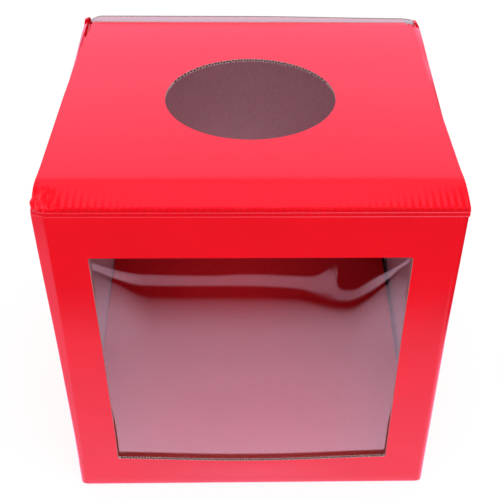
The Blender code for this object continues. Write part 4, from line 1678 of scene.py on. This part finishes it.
@dataclass
class Studio:
    """White table and backdrop, soft lamps, and the camera at the photograph's place."""

    lens: float = 64.5585
    sensor: float = 36.0
    shift: Span = (-0.041958, 0.092)
    azimuth: float = 1.7558
    elevation: float = 39.8612
    roll: float = 0.88327
    distance: float = 0.568794
    target: Place = (0.012606, 0.0, 0.060948)
    table_size: float = 6.0
    table_gap: float = 0.0004       # between the table and the box
    table_edge: float = -0.215      # in front of it the table looks dark in reflections
    table_fade: float = 0.070
    table_right: Span = (0.26, 0.19)        # it looks dark further to the right, too
    table_cover: tuple[float, float, float, float] = (0.82, 0.82, 0.82, 1)
    table_lit: float = 0.78         # share of the table that shines by itself
    table_level: float = 1.08
    table_mirrored: str = "F5C9F2"  # painted reflection: the table glows for reflections, tinted as the red box tints white surfaces
    table_mirrored_levels: Place = (1.45, 2.5, 1.0)     # far off, beside the box, behind
    card_place: float = 1.0         # glowing card behind the box, seen only in reflections: a painted reflection of a lit white card
    card_size: Span = (1.3, 4.5)
    card_fade: Span = (0.55, 1.15)
    card_rise: Span = (1.5, 2.6)
    card_rise_level: float = 0.30
    card_colour: str = "FFD2FF"
    card_levels: Span = (1.50, 0.62)
    world_level: float = 0.80
    lamp_place: Place = (0.15, -0.50, 1.40)
    lamp_target: Place = (0, 0, 0.1)
    lamp_size: float = 1.0
    lamp_watts: float = 8.0
    fill_place: Place = (0.0, -0.085, 0.100)
    fill_target: Place = (0, 0.1, 0.07)
    fill_size: Span = (0.14, 0.12)
    fill_watts: float = 0.006

    def build_camera(self) -> None:
        """Put the camera where the photograph was taken from."""
        azimuth, elevation, lean = (math.radians(v) for v in (self.azimuth, self.elevation, self.roll))
        ahead = Vector((math.sin(azimuth) * math.cos(elevation), math.cos(azimuth) * math.cos(elevation),
                        -math.sin(elevation)))
        right = Vector((math.cos(azimuth), -math.sin(azimuth), 0))
        up = right.cross(ahead)
        side = math.cos(lean) * right + math.sin(lean) * up
        top = -math.sin(lean) * right + math.cos(lean) * up
        data = bpy.data.cameras.new("photograph_camera")
        data.lens, data.sensor_width = self.lens, self.sensor
        data.shift_x, data.shift_y = self.shift
        data.clip_start, data.clip_end = 0.01, 50
        camera = bpy.data.objects.new("photograph_camera", data)
        bpy.context.scene.collection.objects.link(camera)
        turn = Matrix((side, top, -ahead)).transposed().to_4x4()
        camera.matrix_world = Matrix.Translation(Vector(self.target) - ahead * self.distance) @ turn
        bpy.context.scene.camera = camera

    @staticmethod
    def add_plane(name: str, place: Matrix) -> Piece:
        """Add a plane of the studio, a metre wide before it is placed.

        Args:
            name: Name of the plane.
            place: Its place and size.

        Returns:
            The plane.
        """
        deselect()
        bpy.ops.mesh.primitive_plane_add(size=1)
        plane = bpy.context.object
        plane.name = name
        plane.data.transform(place)
        return plane

    def build_table(self) -> None:
        """Lay the white table. It shows a soft shadow; reflections see a painted glow in its place, which
        ends in front of the box.
        """
        size = self.table_size
        table = self.add_plane("table", Matrix.Translation((0, 0, -self.table_gap))
                               @ Matrix.Diagonal((size, size, 1, 1)))
        nodes = Nodes("white_table")
        along, edge, front = nodes.along(Axis.Y), self.table_edge, CARTON.front_face
        far, near, behind = self.table_mirrored_levels
        seen = nodes.ramp(along, (edge - self.table_fade, edge), curve="SMOOTHSTEP")
        inward = nodes.ramp(nodes.along(Axis.X), self.table_right, curve="SMOOTHSTEP")
        level = nodes.calculate("MINIMUM", nodes.ramp(along, (edge, front), (far, near)),
                                nodes.ramp(along, (front, -front), (near, behind)))
        for share in (seen, inward):
            level = nodes.calculate("MULTIPLY", level, share)
        paths = add_node(nodes.tree, "LightPath").outputs
        cover = nodes.result("BsdfDiffuse", {"Color": self.table_cover})
        plain = nodes.choose(self.table_lit, cover, nodes.glow("FFFFFF", self.table_level))
        for_eye = nodes.choose(paths["Is Camera Ray"], cover, plain)
        mirrored = nodes.glow(self.table_mirrored, level)
        table.data.materials.append(nodes.close(nodes.choose(paths["Is Glossy Ray"], for_eye, mirrored)))

    def build_card(self) -> None:
        """Stand a glowing card behind the box, which only reflections see: a painted reflection of a lit
        card.
        """
        width, height = self.card_size
        card = self.add_plane("reflected_card", Matrix.Translation((0, self.card_place, height / 2))
                              @ Matrix.Rotation(math.pi / 2, 4, "X") @ Matrix.Diagonal((width, height, 1, 1)))
        for ray in ("camera", "diffuse", "shadow", "transmission"):
            setattr(card, f"visible_{ray}", False)
        nodes = Nodes("reflected_card")
        up = add_node(nodes.tree, "SeparateXYZ", {"Vector": nodes.place}).outputs["Z"]
        level = nodes.calculate("ADD", nodes.ramp(up, self.card_fade, self.card_levels),
                                nodes.ramp(up, self.card_rise, (0.0, self.card_rise_level)))
        card.data.materials.append(nodes.close(nodes.glow(self.card_colour, level)))

    def build_lights(self) -> None:
        """Light the box evenly from the room, with a soft lamp above and a faint one behind the window."""
        world = bpy.data.worlds.new("white_room")
        bpy.context.scene.world = world
        world.use_nodes = True
        tree = world.node_tree
        tree.nodes.clear()
        room, white = (add_node(tree, "Background", {"Color": linear("FFFFFF"), "Strength": level}).outputs[0]
                       for level in (self.world_level, 1.0))
        seen = add_node(tree, "LightPath").outputs["Is Camera Ray"]
        shown = add_node(tree, "MixShader", {0: seen, 1: room, 2: white}).outputs[0]
        add_node(tree, "OutputWorld", {"Surface": shown})
        world.cycles_visibility.glossy = False
        self.add_lamp("soft_lamp", "DISK", (self.lamp_size, self.lamp_size), self.lamp_watts, self.lamp_place,
                      self.lamp_target)
        self.add_lamp("window_fill", "RECTANGLE", self.fill_size, self.fill_watts, self.fill_place,
                      self.fill_target)

    @staticmethod
    def add_lamp(name: str, outline: str, size: Span, watts: float, place: Place, target: Place) -> None:
        """Add an area lamp that neither the camera nor reflections see.

        Args:
            name: Name of the lamp.
            outline: Shape of its face.
            size: Width and height of its face.
            watts: Its power.
            place: Where it is.
            target: Where it points.
        """
        data = bpy.data.lights.new(name, "AREA")
        data.shape, data.energy = outline, watts
        data.size, data.size_y = size
        lamp = bpy.data.objects.new(name, data)
        lamp.location = place
        lamp.rotation_euler = (Vector(target) - Vector(place)).to_track_quat("-Z", "Y").to_euler()
        lamp.visible_camera = lamp.visible_glossy = False
        bpy.context.scene.collection.objects.link(lamp)

    def build(self) -> None:
        """Set up the studio."""
        bpy.context.scene.view_settings.view_transform = "Standard"
        self.build_camera()
        self.build_table()
        self.build_card()
        self.build_lights()


def main() -> None:
    """Build every sub-assembly in order."""
    logging.basicConfig(level=logging.INFO, format="%(name)s %(message)s")
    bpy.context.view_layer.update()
    Studio().build()
    finishes = Finishes()
    walls = Walls(finishes)
    walls.build()
    Lid(finishes).build()
    for name, side in (("left", -1), ("right", 1)):
        DustFlap(f"top_flap_{name}", f"top_dust_flap_{name}", f"dust_flap_{name}", side, CARTON.flap_under,
                 CARTON.lid_tuck_crease, True, finishes).build()
    Bottom(finishes).build()
    WindowFilm(finishes, walls).build()
    BaseBoard(finishes).build()
    Creases(finishes).build()
    deselect()


if __name__ == "__main__":
    main()
